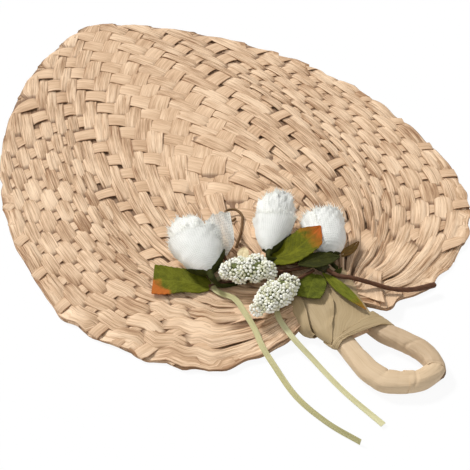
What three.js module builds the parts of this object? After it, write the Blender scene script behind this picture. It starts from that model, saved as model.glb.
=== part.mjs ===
// A hand fan plaited from palm leaf strips, with a wrapped loop handle and a tied spray of cloth flowers.
// Lengths are millimetres. The fan lies on its back, +Y points to its tip and +Z to the flower side.
import * as THREE from 'three';

// Blade
const bladeLength = 317;
const bladeWidth = 253;
const shoulderHeight = 120;
const stripCount = 16;
const foldedStrips = [1, 2, 3, 4, 5, 6, 7, 8, 9, 10, 12];
const rowsToTip = 20.42;
const stripShare = 0.7;
const stripThickness = 0.5;
const layerGap = 0.4;
const gatherHeight = 27;

// Neck and handle
const neckWidth = 37;
const neckThickness = 10;
const neckTop = 27;
const neckDrop = 13;
const neckLean = 1;
const gatherReach = 48;
const wrapThickness = 0.9;
const wrapSplit = 6;
const wrapSlope = 0.35;
const neckFoot = 32;
const gatherTipThickness = 2;
const loopDrop = 58.5;
const loopSpan = 31;
const loopLean = 10.5;
const loopRound = 2.2;
const strandWidth = 11.5;
const strandThickness = 8.5;
const legSpread = 22;
const legOffset = 0.8;

// Flower spray
const budLength = 36;
const budWidth = 22;
const berryHeight = 12;
const leafThickness = 0.8;
const stemDiameter = 2.6;
const tendrilDiameter = 1.2;
const tapeDiameter = 7;
const tapeLength = 12;
const tapeX = 4;
const tapeY = 33;
const ribbonWidth = 3;
const ribbonThickness = 0.6;

// Space kept between pieces that touch
const fit = 0.3;

const palm = '#dcbd98';
const palmDark = '#c9a67f';
const cloth = '#e6e7e1';
const green = '#6d6b19';
const darkGreen = '#39431f';
const berry = '#d5d2bf';
const brown = '#8d6b52';
const sage = '#ae9a67';

const fan = new THREE.Group();

function vec(x, y, z) {
  return new THREE.Vector3(x, y, z);
}

function addMesh(name, geometry, colour) {
  const material = new THREE.MeshStandardMaterial({ color: colour, roughness: 0.8 });
  const mesh = new THREE.Mesh(geometry, material);
  mesh.name = name;
  fan.add(mesh);
  return mesh;
}

// Closed skin over rings of equal point count. A ring may shrink to a point, and neighbours may share points.
function skin(rings, looped) {
  const points = [];
  const places = new Map();
  const index = [];
  function place(p) {
    const key = [p.x, p.y, p.z].map((c) => Math.round(c * 1e4)).join();
    if (!places.has(key)) {
      places.set(key, points.length / 3);
      points.push(p.x, p.y, p.z);
    }
    return places.get(key);
  }
  function triangle(a, b, c) {
    if (a !== b && b !== c && c !== a) {
      index.push(a, b, c);
    }
  }
  const ids = rings.map((ring) => ring.map(place));
  const count = ids[0].length;
  const last = looped ? ids.length : ids.length - 1;
  for (let i = 0; i < last; i++) {
    const near = ids[i];
    const far = ids[(i + 1) % ids.length];
    for (let j = 0; j < count; j++) {
      const k = (j + 1) % count;
      triangle(near[j], near[k], far[k]);
      triangle(near[j], far[k], far[j]);
    }
  }
  if (!looped) {
    for (let j = 1; j < count - 1; j++) {
      triangle(ids[0][0], ids[0][j + 1], ids[0][j]);
      const end = ids[ids.length - 1];
      triangle(end[0], end[j], end[j + 1]);
    }
  }
  const geometry = new THREE.BufferGeometry();
  geometry.setAttribute('position', new THREE.Float32BufferAttribute(points, 3));
  geometry.setIndex(faceOut(points, index));
  geometry.computeVertexNormals();
  return geometry;
}

// Triangles turned so that they all face out of the body.
function faceOut(points, index) {
  let volume = 0;
  const corner = (i) => vec(points[3 * i], points[3 * i + 1], points[3 * i + 2]);
  for (let i = 0; i < index.length; i += 3) {
    const a = corner(index[i]);
    volume += a.dot(corner(index[i + 1]).cross(corner(index[i + 2])));
  }
  if (volume > 0) {
    return index;
  }
  const turned = [];
  for (let i = 0; i < index.length; i += 3) {
    turned.push(index[i], index[i + 2], index[i + 1]);
  }
  return turned;
}

// Weave. Each strip family is numbered along the axis: 0 at the tip, one more for every pitch below it.
// Left of the axis the first family runs as arcs into the neck, and right of it as rungs to the edge.
// The second family is its mirror image.
const halfWidth = bladeWidth / 2;
const reach = bladeLength - gatherHeight;
const stripPitch = reach / rowsToTip;
const arcAspect = 0.431;
const crossSlope = 1.376;
const arcBend = [-0.473, 0.923, -0.573];
const arcSqueeze = [1.817, -1.599, 1.115];
const rungFall = 1;
const rungRange = 0.64;
const edgeTaper = 2.05;
const edgeRound = 0.78;
const freeTurn = 0.2;
const tuck = 0.15;

// Across-blade distance as it would be on a blade of the weave's own proportions.
function evened(x) {
  return (Math.abs(x) / halfWidth) * arcAspect * reach;
}

function rungRise(x) {
  const d = rungRange * arcAspect * reach;
  const e = evened(x);
  return (crossSlope + rungFall) * d * (1 - Math.exp(-e / d)) - rungFall * e;
}

function rungHeight(number, x) {
  return bladeLength - number * stripPitch + rungRise(x);
}

function series(first, factors, t) {
  return first + t * t * (factors[0] + t * (factors[1] + t * factors[2]));
}

// Number of the arc that passes through a point beside the axis.
function arcNumber(x, y) {
  const e = evened(x);
  const t = Math.atan2(e, y - gatherHeight);
  const spiral = series(-crossSlope * t, arcBend, t);
  const share = (Math.log(Math.hypot(e, y - gatherHeight) / reach) - spiral) / series(1, arcSqueeze, t);
  return ((1 - Math.exp(share)) * reach) / stripPitch;
}

// Plan point left of the axis where an arc meets a rung: the first one met from the edge inwards.
function leftCrossing(arc, rung) {
  const off = (x) => arcNumber(x, rungHeight(rung, x)) - arc;
  let outer = 1.2 * halfWidth;
  let inner = outer;
  const step = halfWidth / 60;
  while (off(inner) < 0 && inner > step) {
    outer = inner;
    inner -= step;
  }
  for (let i = 0; i < 40; i++) {
    const middle = (outer + inner) / 2;
    if (off(middle) < 0) {
      outer = middle;
    } else {
      inner = middle;
    }
  }
  return inner;
}

function crossing(a, b) {
  if (Math.abs(a - b) < 1e-6) {
    return [0, rungHeight(a, 0)];
  }
  const x = leftCrossing(Math.min(a, b), Math.max(a, b));
  return [a < b ? -x : x, rungHeight(Math.max(a, b), x)];
}

// Outline of the blade above its shoulders, where the rungs end.
function edgeAt(y) {
  const share = Math.max(0, (y - shoulderHeight) / (bladeLength - shoulderHeight));
  return halfWidth * Math.pow(Math.max(0, 1 - Math.pow(share, edgeTaper)), edgeRound);
}

function rungEnd(number) {
  let inner = 0;
  let outer = halfWidth;
  for (let i = 0; i < 40; i++) {
    const middle = (inner + outer) / 2;
    if (middle < edgeAt(rungHeight(number, middle))) {
      inner = middle;
    } else {
      outer = middle;
    }
  }
  return arcNumber(inner, rungHeight(number, inner));
}

// Neck outline in plan, and how far out of it a point lies in units of its own size.
const neckHalf = neckWidth / 2;
const middleZ = neckThickness / 2;
const layer = (stripThickness + layerGap) / 2;
const bladeZ = layer + stripThickness / 2;

function gatherShare(x, y) {
  const up = Math.max(0, y - gatherHeight) / gatherReach;
  return (x / neckHalf) ** 2 + up * up;
}

function bladeHeight(x, y) {
  const away = Math.max(0, Math.sqrt(gatherShare(x, y)) - 1) / 0.9;
  return bladeZ + (middleZ - bladeZ) * Math.exp(-away * away);
}

function bladeTop(x, y) {
  return bladeHeight(x, y) + layer + stripThickness / 2;
}

// Strips of one family in order: the runs that come back from the edge, then the ones that cross the axis.
// A strip either folds over at the edge and comes back to the neck, or ends tucked in there.
const strips = [];
const returns = [];
for (let i = 0; i < stripCount; i++) {
  const number = i + 0.5;
  const end = rungEnd(number);
  const turns = foldedStrips.includes(i + 1);
  strips.push({ rank: i, number, end, turns });
  if (turns) {
    returns.push({ rank: -1 - returns.length, number: end, from: number });
  }
}
const family = [...returns].reverse().concat(strips);
family.forEach((s, i) => {
  const gaps = [family[i - 1], family[i + 1]].filter(Boolean).map((n) => Math.abs(n.number - s.number));
  s.half = (stripShare / 2) * Math.min(1, ...gaps);
});

// Two over, two under: true where the first family is on top.
function firstOver(rankA, rankB) {
  const step = (((rankA - rankB) % 4) + 4) % 4;
  return step < 2;
}

// Places below a run's start where it meets the other family, and its level there.
function stations(strip, from, mirrored) {
  const met = family.filter((s) => {
    const first = s.rank >= 0 ? -Infinity : s.from;
    return s.number > from && strip.number > first;
  });
  return met.map((s) => {
    const over = mirrored ? !firstOver(s.rank, strip.rank) : firstOver(strip.rank, s.rank);
    return { from: s.number - s.half, to: s.number + s.half, level: over ? 1 : -1 };
  });
}

// Plan point on a strip edge: across is the strip's own number plus its half width, along the other family's.
function onStrip(across, along, mirrored) {
  return mirrored ? crossing(along, across) : crossing(across, along);
}

// Point of an arc at an angle round the gathering point, measured from the tip's direction.
function arcPoint(arc, angle) {
  const share = 1 - (arc * stripPitch) / reach;
  const power = series(1, arcSqueeze, angle) * Math.log(share);
  const r = reach * Math.exp(series(-crossSlope * angle, arcBend, angle) + power);
  const x = (r * Math.sin(angle) * halfWidth) / (arcAspect * reach);
  return [x, gatherHeight + r * Math.cos(angle)];
}

// Angle at which an arc runs into the neck.
function gatherAngle(arc) {
  let outer = 0;
  let inner = Math.PI;
  for (let i = 0; i < 40; i++) {
    const middle = (outer + inner) / 2;
    const [x, y] = arcPoint(arc, middle);
    if (gatherShare(x / (1 + fit / neckHalf), y) > 1) {
      outer = middle;
    } else {
      inner = middle;
    }
  }
  return outer;
}

// Sections of one run, from its edge end to the neck. Each is the pair of edge points with their height.
function runSections(strip, from, mirrored) {
  const stops = [];
  const met = stations(strip, from, mirrored);
  met.forEach((m, i) => {
    const before = met[i - 1];
    const after = met[i + 1];
    if (!before || before.level !== m.level) {
      stops.push([m.from, m.level]);
    }
    if (!after || after.level !== m.level) {
      stops.push([m.to, m.level]);
    } else if (m.to > strip.number) {
      stops.push([(m.to + after.from) / 2, m.level]);
    }
  });
  const sides = [strip.number - strip.half, strip.number + strip.half];
  const sections = stops.map(([along, level]) => sides.map((edge) => {
    const [x, y] = onStrip(edge, along, mirrored);
    return vec(x, y, bladeHeight(x, y) + level * layer);
  }));
  const lowest = stops.length ? stops[stops.length - 1][0] : from + strip.half;
  const starts = sides.map((edge) => {
    const [x, y] = onStrip(edge, lowest, mirrored);
    return Math.atan2(evened(x), y - gatherHeight);
  });
  const ends = sides.map(gatherAngle);
  const turn = Math.max(ends[0] - starts[0], ends[1] - starts[1]);
  const steps = Math.max(2, Math.ceil(turn / freeTurn));
  for (let i = 1; i <= steps; i++) {
    sections.push(sides.map((edge, k) => {
      const angle = starts[k] + ((ends[k] - starts[k]) * i) / steps;
      const [x, y] = arcPoint(edge, angle);
      return vec(mirrored ? x : -x, y, bladeHeight(x, y));
    }));
  }
  return sections;
}

function cornerPoint(across, along, mirrored) {
  const [x, y] = onStrip(across, along, mirrored);
  return vec(x, y, bladeHeight(x, y));
}

// A strip from the neck over the blade to the edge and, where it turns back there, down to the neck again.
function stripSections(strip, mirrored) {
  const { number: own, half, end } = strip;
  const run = runSections(strip, end, mirrored);
  if (!strip.turns) {
    const first = stations(strip, end, mirrored)[0];
    const tail = [-1, 1].map((side) => {
      const [x, y] = onStrip(own + side * half, first.from - tuck, mirrored);
      return vec(x, y, bladeHeight(x, y) + first.level * layer);
    });
    return [tail, ...run.slice(1)];
  }
  const back = returns.find((r) => r.from === own);
  const inside = cornerPoint(own + half, end + back.half, mirrored);
  const goes = [cornerPoint(own - half, end + back.half, mirrored), inside];
  const comes = [inside, cornerPoint(own + half, end - back.half, mirrored)];
  const down = runSections(back, own, !mirrored);
  return [...down.reverse(), comes.reverse(), goes, ...run];
}

function stripSolid(sections) {
  const t = stripThickness / 2;
  const rings = sections.map(([a, b]) => [
    vec(a.x, a.y, a.z + t),
    vec(b.x, b.y, b.z + t),
    vec(b.x, b.y, b.z - t),
    vec(a.x, a.y, a.z - t),
  ]);
  return skin(rings, false);
}

for (const mirrored of [false, true]) {
  const side = mirrored ? 'left' : 'right';
  for (const strip of strips) {
    const name = `strip_${side}_${String(strip.rank + 1).padStart(2, '0')}`;
    addMesh(name, stripSolid(stripSections(strip, mirrored)), palm);
  }
}

// Points round a flat-sided oval, as pairs across and through it.
function oval(across, through, sides) {
  const flat = Math.max(0, across - through);
  const spread = 1 / Math.cos(Math.PI / sides);
  const points = [];
  for (let i = 0; i < sides; i++) {
    const angle = (2 * Math.PI * (i + 0.5)) / sides;
    const c = spread * Math.cos(angle);
    points.push([Math.sign(c) * flat + Math.min(across, through) * c, spread * through * Math.sin(angle)]);
  }
  return points;
}

// Neck. The leaf ends are gathered into a flat core that two broad leaf wraps hold.
const wrapRoom = wrapThickness + fit;
const ovalSides = 16;

function neckRing(y, inset, slope) {
  const low = Math.max(0, -y) / neckDrop;
  const across = neckHalf - (neckHalf - neckFoot / 2) * low - inset;
  return oval(across, middleZ - inset, ovalSides).map(([x, z]) => {
    const shifted = x + neckLean * low;
    return vec(shifted, y + slope * shifted, middleZ + z);
  });
}

function gatherAcross(y) {
  const up = Math.max(0, y - gatherHeight) / gatherReach;
  return neckHalf * Math.sqrt(Math.max(0, 1 - up * up));
}

function gatherThrough(y) {
  const up = Math.max(0, y - gatherHeight) / gatherReach;
  return middleZ + (gatherTipThickness / 2 - middleZ) * Math.sin((Math.PI / 2) * Math.min(1, up));
}

function gatherRing(y) {
  const across = gatherAcross(y);
  const ring = oval(across, Math.min(across, gatherThrough(y)), ovalSides);
  return ring.map(([x, z]) => vec(x, y, middleZ + z));
}

// Height of the top of the neck or blade under a point of the spray.
function ground(x, y) {
  if (gatherShare(x, y) > 1) {
    return bladeTop(x, y);
  }
  const through = gatherThrough(y);
  const round = Math.max(0, Math.abs(x) - gatherAcross(y) + through);
  return middleZ + Math.sqrt(Math.max(0, through * through - round * round));
}

function above(x, y, lift) {
  return vec(x, y, ground(x, y) + fit + lift);
}

const coreRings = [neckRing(-neckDrop, wrapRoom, 0), neckRing(0, wrapRoom, 0), neckRing(neckTop, wrapRoom, 0)];
for (const up of [0, 0.2, 0.4, 0.6, 0.78, 0.9, 0.97, 1]) {
  coreRings.push(gatherRing(neckTop + fit + (gatherHeight + gatherReach - neckTop - fit) * up));
}
addMesh('neck_core', skin(coreRings, false), palmDark);

const seam = (side) => (inset) => neckRing(wrapSplit + (side * fit) / 2, inset, wrapSlope);
const upperEnds = [(inset) => neckRing(neckTop, inset, 0), seam(1)];
const lowerEnds = [seam(-1), (inset) => neckRing(0, inset, 0), (inset) => neckRing(-neckDrop, inset, 0)];
for (const [name, ends] of [['neck_wrap_upper', upperEnds], ['neck_wrap_lower', lowerEnds]]) {
  const outside = ends.map((ring) => ring(0));
  const inside = ends.map((ring) => ring(wrapThickness)).reverse();
  addMesh(name, skin([...outside, ...inside], true), palm);
}

// Handle loop: a strand of leaf ends bent round, in three lengths of leaf wrapping.
const loopDepth = loopDrop - strandWidth / 2 - neckDrop - fit;

function loopPoint(share, side) {
  const bulge = (loopSpan - legSpread) / 2;
  const low = Math.max(0, share - 0.5) / 0.5;
  const upper = legSpread / 2 + bulge * Math.sin(Math.PI * Math.min(share, 0.5));
  const across = upper * Math.sqrt(Math.max(0, 1 - Math.pow(low, loopRound)));
  const x = legOffset + loopLean * share + side * across;
  return vec(x, -neckDrop - fit - loopDepth * share, middleZ);
}

const loopShares = [0, 0.06, 0.18, 0.34, 0.5, 0.65, 0.79, 0.9, 0.97];
const loopPoints = [
  ...loopShares.map((share) => loopPoint(share, -1)),
  loopPoint(1, 0),
  ...loopShares.map((share) => loopPoint(share, 1)).reverse(),
];
const loopPath = new THREE.CatmullRomCurve3(loopPoints);
const loopLength = loopPath.getLength();

// Rings across the strand between two shares of its length. The ends of the loop are square to the neck.
function strandRings(from, to, inset, steps) {
  const section = oval(strandWidth / 2 - inset, strandThickness / 2 - inset, 12);
  const rings = [];
  for (let i = 0; i <= steps; i++) {
    const at = from + ((to - from) * i) / steps;
    const centre = loopPath.getPointAt(at);
    const along = at === 0 ? vec(0, -1, 0) : at === 1 ? vec(0, 1, 0) : loopPath.getTangentAt(at);
    const across = vec(-along.y, along.x, 0);
    rings.push(section.map(([w, z]) => centre.clone().addScaledVector(across, w).add(vec(0, 0, z))));
  }
  return rings;
}

addMesh('loop_core', skin(strandRings(0, 1, wrapRoom, 24), false), palmDark);
const wrapGap = fit / loopLength / 2;
const wrapLengths = [
  ['left', 0, 0.36 - wrapGap],
  ['end', 0.36 + wrapGap, 0.68 - wrapGap],
  ['right', 0.68 + wrapGap, 1],
];
for (const [place, from, to] of wrapLengths) {
  const outside = strandRings(from, to, 0, 8);
  const inside = strandRings(from, to, wrapThickness, 8).reverse();
  addMesh(`loop_wrap_${place}`, skin([...outside, ...inside], true), palm);
}

// Spray. Round pieces are skins over rings along an axis, with a profile of [share of length, radius].
function axisFrame(from, to) {
  const along = to.clone().sub(from).normalize();
  const across = vec(-along.y, along.x, 0).normalize();
  const up = along.clone().cross(across).negate();
  return { along, across, up };
}

function turned(from, to, profile, sides) {
  const { across, up } = axisFrame(from, to);
  return skin(profile.map(([share, radius]) => {
    const centre = from.clone().lerp(to, share);
    const ring = [];
    for (let i = 0; i < sides; i++) {
      const angle = (2 * Math.PI * i) / sides;
      const out = across.clone().multiplyScalar(radius * Math.cos(angle));
      ring.push(centre.clone().add(out).addScaledVector(up, radius * Math.sin(angle)));
    }
    return ring;
  }), false);
}

// Rosebuds of rolled cloth, each lying over the blade on its own taped stem.
const budProfile = [
  [0, 0.3], [0.08, 0.56], [0.22, 0.86], [0.42, 1], [0.62, 0.98], [0.82, 0.86], [0.95, 0.7], [1, 0.52],
];
const stemSteps = 12;
const cupLength = 6;
const cupFlare = 1;
const tapeCentre = vec(tapeX, tapeY, neckThickness + fit + tapeDiameter / 2);
const tapeAxis = vec(0.35, -1, 0).normalize();

function bud(name, base, heading, scale) {
  const tip = base.clone().addScaledVector(heading, budLength * scale);
  const profile = budProfile.map(([share, r]) => [share, (r * scale * budWidth) / 2]);
  addMesh(name, turned(base, tip, profile, 14), cloth);
}

// Stem that widens into the cup under a bud and meets it square.
function budStem(name, route, base, heading) {
  const points = [...route, base.clone().addScaledVector(heading, -cupLength)];
  points.push(base.clone().addScaledVector(heading, -fit));
  const path = new THREE.CatmullRomCurve3(points);
  const rings = [];
  for (let i = 0; i <= stemSteps; i++) {
    const at = i / stemSteps;
    const along = i === stemSteps ? heading.clone() : path.getTangentAt(at);
    const across = vec(-along.y, along.x, 0).normalize();
    const up = along.clone().cross(across);
    const radius = (stemDiameter / 2) * (1 + cupFlare * Math.pow(at, 5));
    const centre = path.getPointAt(at);
    const ring = [];
    for (let j = 0; j < 8; j++) {
      const angle = (2 * Math.PI * j) / 8;
      const out = across.clone().multiplyScalar(radius * Math.cos(angle));
      ring.push(centre.clone().add(out).addScaledVector(up, radius * Math.sin(angle)));
    }
    rings.push(ring);
  }
  addMesh(name, skin(rings, false), darkGreen);
}

// Thin blades with a raised midrib. Widths are shares of the full width at even steps from base to tip.
function leaf(name, points, width, shares, colour) {
  const path = new THREE.CatmullRomCurve3(points);
  const rings = shares.map((share, i) => {
    const at = i / (shares.length - 1);
    const centre = path.getPoint(at);
    const along = path.getTangent(at);
    const across = vec(-along.y, along.x, 0).normalize();
    const up = across.clone().cross(along).negate();
    const side = across.multiplyScalar((width * share) / 2);
    const rise = leafThickness / 2 + (width * share) / 14;
    return [
      centre.clone().add(side).addScaledVector(up, rise),
      centre.clone().addScaledVector(up, leafThickness / 2),
      centre.clone().sub(side).addScaledVector(up, rise),
      centre.clone().addScaledVector(up, -leafThickness / 2),
    ];
  });
  addMesh(name, skin(rings, false), colour);
}

const budHalf = budWidth / 2;
const budRise = 2.8;

// Base of a bud that lies over a place on the blade with some room under it.
function budBase(x, y, over, room) {
  return vec(x, y, bladeTop(...over) + room + budHalf);
}

const buds = {
  left: { base: budBase(-48, 59, [-44, 76], budRise), heading: vec(0.22, 0.976, 0).normalize(), scale: 1 },
  middle: { base: budBase(-11, 55, [-1, 68], fit), heading: vec(0.56, 0.83, 0).normalize(), scale: 1 },
  right: { base: budBase(13, 39.5, [23, 48], fit), heading: vec(0.45, 0.89, 0).normalize(), scale: 0.9 },
};
const stemLift = stemDiameter / 2;
const stemRoutes = {
  left: [
    above(-9, 40, stemLift), above(-16, 42, stemLift + 0.8), above(-24, 45.5, stemLift),
    above(-36, 49, stemLift), above(-45, 50.5, stemLift + 3),
  ],
  middle: [above(-1, 44, stemLift), above(-9, 46.5, stemLift + 2.5)],
  right: [above(11.4, 26.5, stemLift + 1.5), above(11.2, 30.5, stemLift + 1.5)],
};
for (const [place, { base, heading, scale }] of Object.entries(buds)) {
  bud(`bud_${place}`, base, heading, scale);
  budStem(`bud_stem_${place}`, stemRoutes[place], base, heading);
}

const tapeEnds = [-0.5, 0.5].map((share) => tapeCentre.clone().addScaledVector(tapeAxis, share * tapeLength));
const tapeProfile = [[0, 0.7], [0.15, 1], [0.85, 1], [1, 0.7]].map(([at, r]) => [at, (r * tapeDiameter) / 2]);
addMesh('binding_tape', turned(...tapeEnds, tapeProfile, 10), darkGreen);

const leafShares = [0.16, 0.62, 0.9, 1, 0.95, 0.8, 0.5, 0.08];
const cutShares = [0.3, 0.72, 0.94, 1, 1, 0.94, 0.8, 0.5];
const petalShares = [0.25, 0.5, 0.75, 0.92, 1, 0.9];
const leafLift = leafThickness / 2;
const overTape = tapeCentre.z + tapeDiameter / 2 + fit + leafLift;
const overBud = buds.right.base.z + buds.right.scale * budHalf + fit + leafLift;
leaf('leaf_left', [
  above(-50, 54, leafLift), above(-59.5, 64.5, leafLift + 0.4), above(-72.5, 73, leafLift + 0.8),
], 20, cutShares, green);
leaf('leaf_middle', [above(-12.5, 43.7, 6.1), above(-3, 43, 12), vec(11.5, 42.8, overBud)], 16, cutShares, green);
leaf('leaf_right', [vec(-6, 35, overTape), vec(4.5, 31.5, overTape), vec(16, 30, overTape - 1)],
  9, leafShares, darkGreen);
leaf('leaf_narrow', [above(19.2, 35.8, leafLift), above(28, 40, leafLift), above(37.3, 43.5, leafLift)],
  6, leafShares, brown);
leaf('leaf_round', [above(-1, 27.5, leafLift), above(-6, 21, leafLift), above(-9.5, 13.5, leafLift)],
  13, leafShares, darkGreen);
leaf('leaf_slender', [above(3.2, 26, leafLift), above(6, 12, leafLift), above(9.5, -9, leafLift)],
  7.5, leafShares, green);
leaf('petal_left', [above(-26.5, 72.5, leafLift), above(-25.2, 79.5, 6.5), above(-23.5, 86.5, 13)], 13,
  petalShares, cloth);
leaf('bract', [above(-25, 54.6, 7.5), above(-17.5, 66, 4.3)], 10, leafShares, berry);

// Berry heads: a knobbly dome of small beads, as one solid each.
function berries(name, centre, size, lean) {
  const rings = [];
  const rows = 9;
  const sides = 18;
  const upward = vec(0, 0, 1);
  for (let i = 0; i <= rows; i++) {
    const tilt = Math.PI * (i / rows - 0.5);
    const ring = [];
    for (let j = 0; j < sides; j++) {
      const turn = (2 * Math.PI * j) / sides;
      const knob = 1 + 0.06 * Math.cos(Math.PI * (i + j)) * Math.cos(tilt);
      const x = size.x * Math.cos(tilt) * Math.cos(turn) * knob;
      const y = size.y * Math.cos(tilt) * Math.sin(turn) * knob;
      ring.push(vec(x, y, size.z * Math.sin(tilt) * knob).applyAxisAngle(upward, lean).add(centre));
    }
    rings.push(ring);
  }
  addMesh(name, skin(rings, false), berry);
}
const overStem = stemDiameter + 1.8 + berryHeight / 2;
const overRibbon = stemDiameter + 0.8 + berryHeight / 2;
berries('berries_upper', above(-29.5, 46.8, overStem), vec(15, 8.5, berryHeight / 2), -0.45);
berries('berries_lower', above(-27, 24.6, overRibbon), vec(15.5, 8.5, berryHeight / 2), 0.2);

// Round wires and stems along a route.
function wire(name, points, diameter, sides, steps, colour) {
  const shape = new THREE.Shape();
  for (let i = 0; i < sides; i++) {
    const angle = (2 * Math.PI * i) / sides;
    const x = (diameter / 2) * Math.cos(angle);
    const y = (diameter / 2) * Math.sin(angle);
    if (i === 0) {
      shape.moveTo(x, y);
    } else {
      shape.lineTo(x, y);
    }
  }
  const extrudePath = new THREE.CatmullRomCurve3(points);
  addMesh(name, new THREE.ExtrudeGeometry(shape, { steps, extrudePath, bevelEnabled: false }), colour);
}

wire('main_stem', [
  tapeCentre.clone().addScaledVector(tapeAxis, tapeLength / 2 + fit), above(8.5, 21, stemLift + 2),
  above(14, 15.5, stemLift + 1.5), above(23, 9, stemLift + 3), above(31, 2.5, stemLift + 1.5),
  above(41, -2, stemLift + 1.3), above(55, -3, stemLift + 1),
], stemDiameter, 8, 16, brown);
wire('tendril', [
  above(-23, 72, tendrilDiameter / 2), above(-16, 79.5, 1.3), above(-11, 86.5, 1.7), above(-8.6, 93.5, 2.5),
  above(-9.5, 100, 3.5), above(-14, 102, 4.1), above(-17, 98, 3.6), above(-15, 93, 2.5), above(-12.5, 94, 2.4),
], tendrilDiameter, 6, 28, brown);

// Ribbon tails: flat cords that run from the binding over the blade and down to the table.
function ribbon(name, points) {
  const path = new THREE.CatmullRomCurve3(points);
  const section = oval(ribbonWidth / 2, ribbonThickness / 2, 8);
  const steps = 24;
  const rings = [];
  for (let i = 0; i <= steps; i++) {
    const along = path.getTangentAt(i / steps);
    const across = vec(-along.y, along.x, 0).normalize();
    const up = along.clone().cross(across);
    const centre = path.getPointAt(i / steps);
    rings.push(section.map(([w, h]) => centre.clone().addScaledVector(across, w).addScaledVector(up, h)));
  }
  addMesh(name, skin(rings, false), sage);
}
ribbon('ribbon_left', [
  vec(-9, 36, 9.6), vec(-14.5, 36.8, 9.5), vec(-19, 37.8, 7.8), vec(-25, 38.8, 6), vec(-34, 38.8, 4.2),
  vec(-41, 34.5, 3), vec(-43.6, 22.5, 2.7), vec(-46.1, -1.9, 1.8), vec(-46.5, -21, 0.7), vec(-43.3, -45.5, 0.6),
  vec(-33.2, -66.4, 0.6),
]);
ribbon('ribbon_right', [
  vec(-9, 31, 10.4), vec(-15, 30.6, 10.5), vec(-19, 29.6, 8.8), vec(-24, 27.4, 6.6), vec(-29.5, 19, 5.6),
  vec(-31, 4.8, 4.9), vec(-28.3, -12.3, 2), vec(-25.4, -35.7, 0.7), vec(-20.2, -62.4, 0.6),
]);

// The origin is the middle of the underside of the fan, measured without its ribbons.
fan.updateMatrixWorld(true);
const body = new THREE.Box3();
for (const mesh of fan.children.filter((m) => !m.name.startsWith('ribbon'))) {
  body.expandByObject(mesh);
}
const middle = body.getCenter(vec(0, 0, 0));
fan.position.set(-middle.x, -middle.y, -body.min.z);

export default fan;
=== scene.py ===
"""Looks of a hand fan plaited from palm leaf strips, with a loop handle and a spray of cloth flowers.

Shapes are worked out in the fan's own frame in millimetres: x across, y from the lobes to the tip, z up
from the table. place() turns them into the row frame in metres.
"""
import math

import bpy
import numpy as np
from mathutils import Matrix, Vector


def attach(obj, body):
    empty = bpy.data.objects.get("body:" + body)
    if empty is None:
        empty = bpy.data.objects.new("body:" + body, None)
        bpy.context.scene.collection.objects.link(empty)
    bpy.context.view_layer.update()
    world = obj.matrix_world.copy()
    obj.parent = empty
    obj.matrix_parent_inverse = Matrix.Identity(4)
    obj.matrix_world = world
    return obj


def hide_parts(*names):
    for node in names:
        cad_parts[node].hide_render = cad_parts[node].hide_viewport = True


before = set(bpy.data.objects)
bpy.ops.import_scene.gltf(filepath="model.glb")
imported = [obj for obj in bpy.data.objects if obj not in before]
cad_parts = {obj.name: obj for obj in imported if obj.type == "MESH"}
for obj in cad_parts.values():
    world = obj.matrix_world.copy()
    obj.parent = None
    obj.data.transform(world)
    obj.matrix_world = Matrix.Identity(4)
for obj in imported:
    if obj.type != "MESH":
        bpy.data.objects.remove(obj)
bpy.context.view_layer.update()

ROW_SHIFT = 128.963  # the row frame's origin, up the fan's axis


def place(points):
    p = np.asarray(points, float).reshape(-1, 3).copy()
    p[:, 1] -= ROW_SHIFT
    return p / 1000


# Camera and lights
scene = bpy.context.scene
scene.view_settings.view_transform = "Standard"

LOOK_AT = Vector((-0.0154, -0.042163, 0.0))
CAMERA_OFFSET = Vector((-0.2395, -0.4216, 0.4522))
LENS_LENGTH, SENSOR_WIDTH, CLIP_END = 91.915, 36, 20
# Suns: the way to each, its strength and its spread in degrees
SUNS = {"key": ((-0.3, 0.8, 0.85), 2.6, 9), "fill": ((-0.6, -0.5, 0.9), 0.4, 60)}


def add_object(name, data):
    o = bpy.data.objects.new(name, data)
    scene.collection.objects.link(o)
    return o


def facing_in(offset):
    """Turn of a camera or a sun that stands at an offset and faces back along it."""
    return (-Vector(offset)).to_track_quat("-Z", "Y").to_euler()


def add_camera():
    data = bpy.data.cameras.new("camera")
    data.lens = LENS_LENGTH
    data.sensor_width = SENSOR_WIDTH
    data.clip_end = CLIP_END
    camera = add_object("camera", data)
    camera.location = LOOK_AT + CAMERA_OFFSET
    camera.rotation_euler = facing_in(CAMERA_OFFSET)
    scene.camera = camera


def add_suns():
    for name, (towards, energy, spread) in SUNS.items():
        data = bpy.data.lights.new(name, "SUN")
        data.energy = energy
        data.angle = math.radians(spread)
        sun = add_object(name, data)
        sun.location = towards
        sun.rotation_euler = facing_in(towards)


add_camera()
add_suns()


# Shader helpers
WHITE, BLACK = (1, 1, 1, 1), (0, 0, 0, 1)


class Value:
    """A number or colour of a node tree, which takes plain arithmetic."""

    def __init__(self, nodes, socket):
        self.nodes, self.socket = nodes, socket

    def __add__(self, other):
        return self.nodes.math("ADD", self, other)

    def __sub__(self, other):
        return self.nodes.math("SUBTRACT", self, other)

    def __mul__(self, other):
        return self.nodes.math("MULTIPLY", self, other)

    def __abs__(self):
        return self.nodes.math("ABSOLUTE", self)


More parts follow.
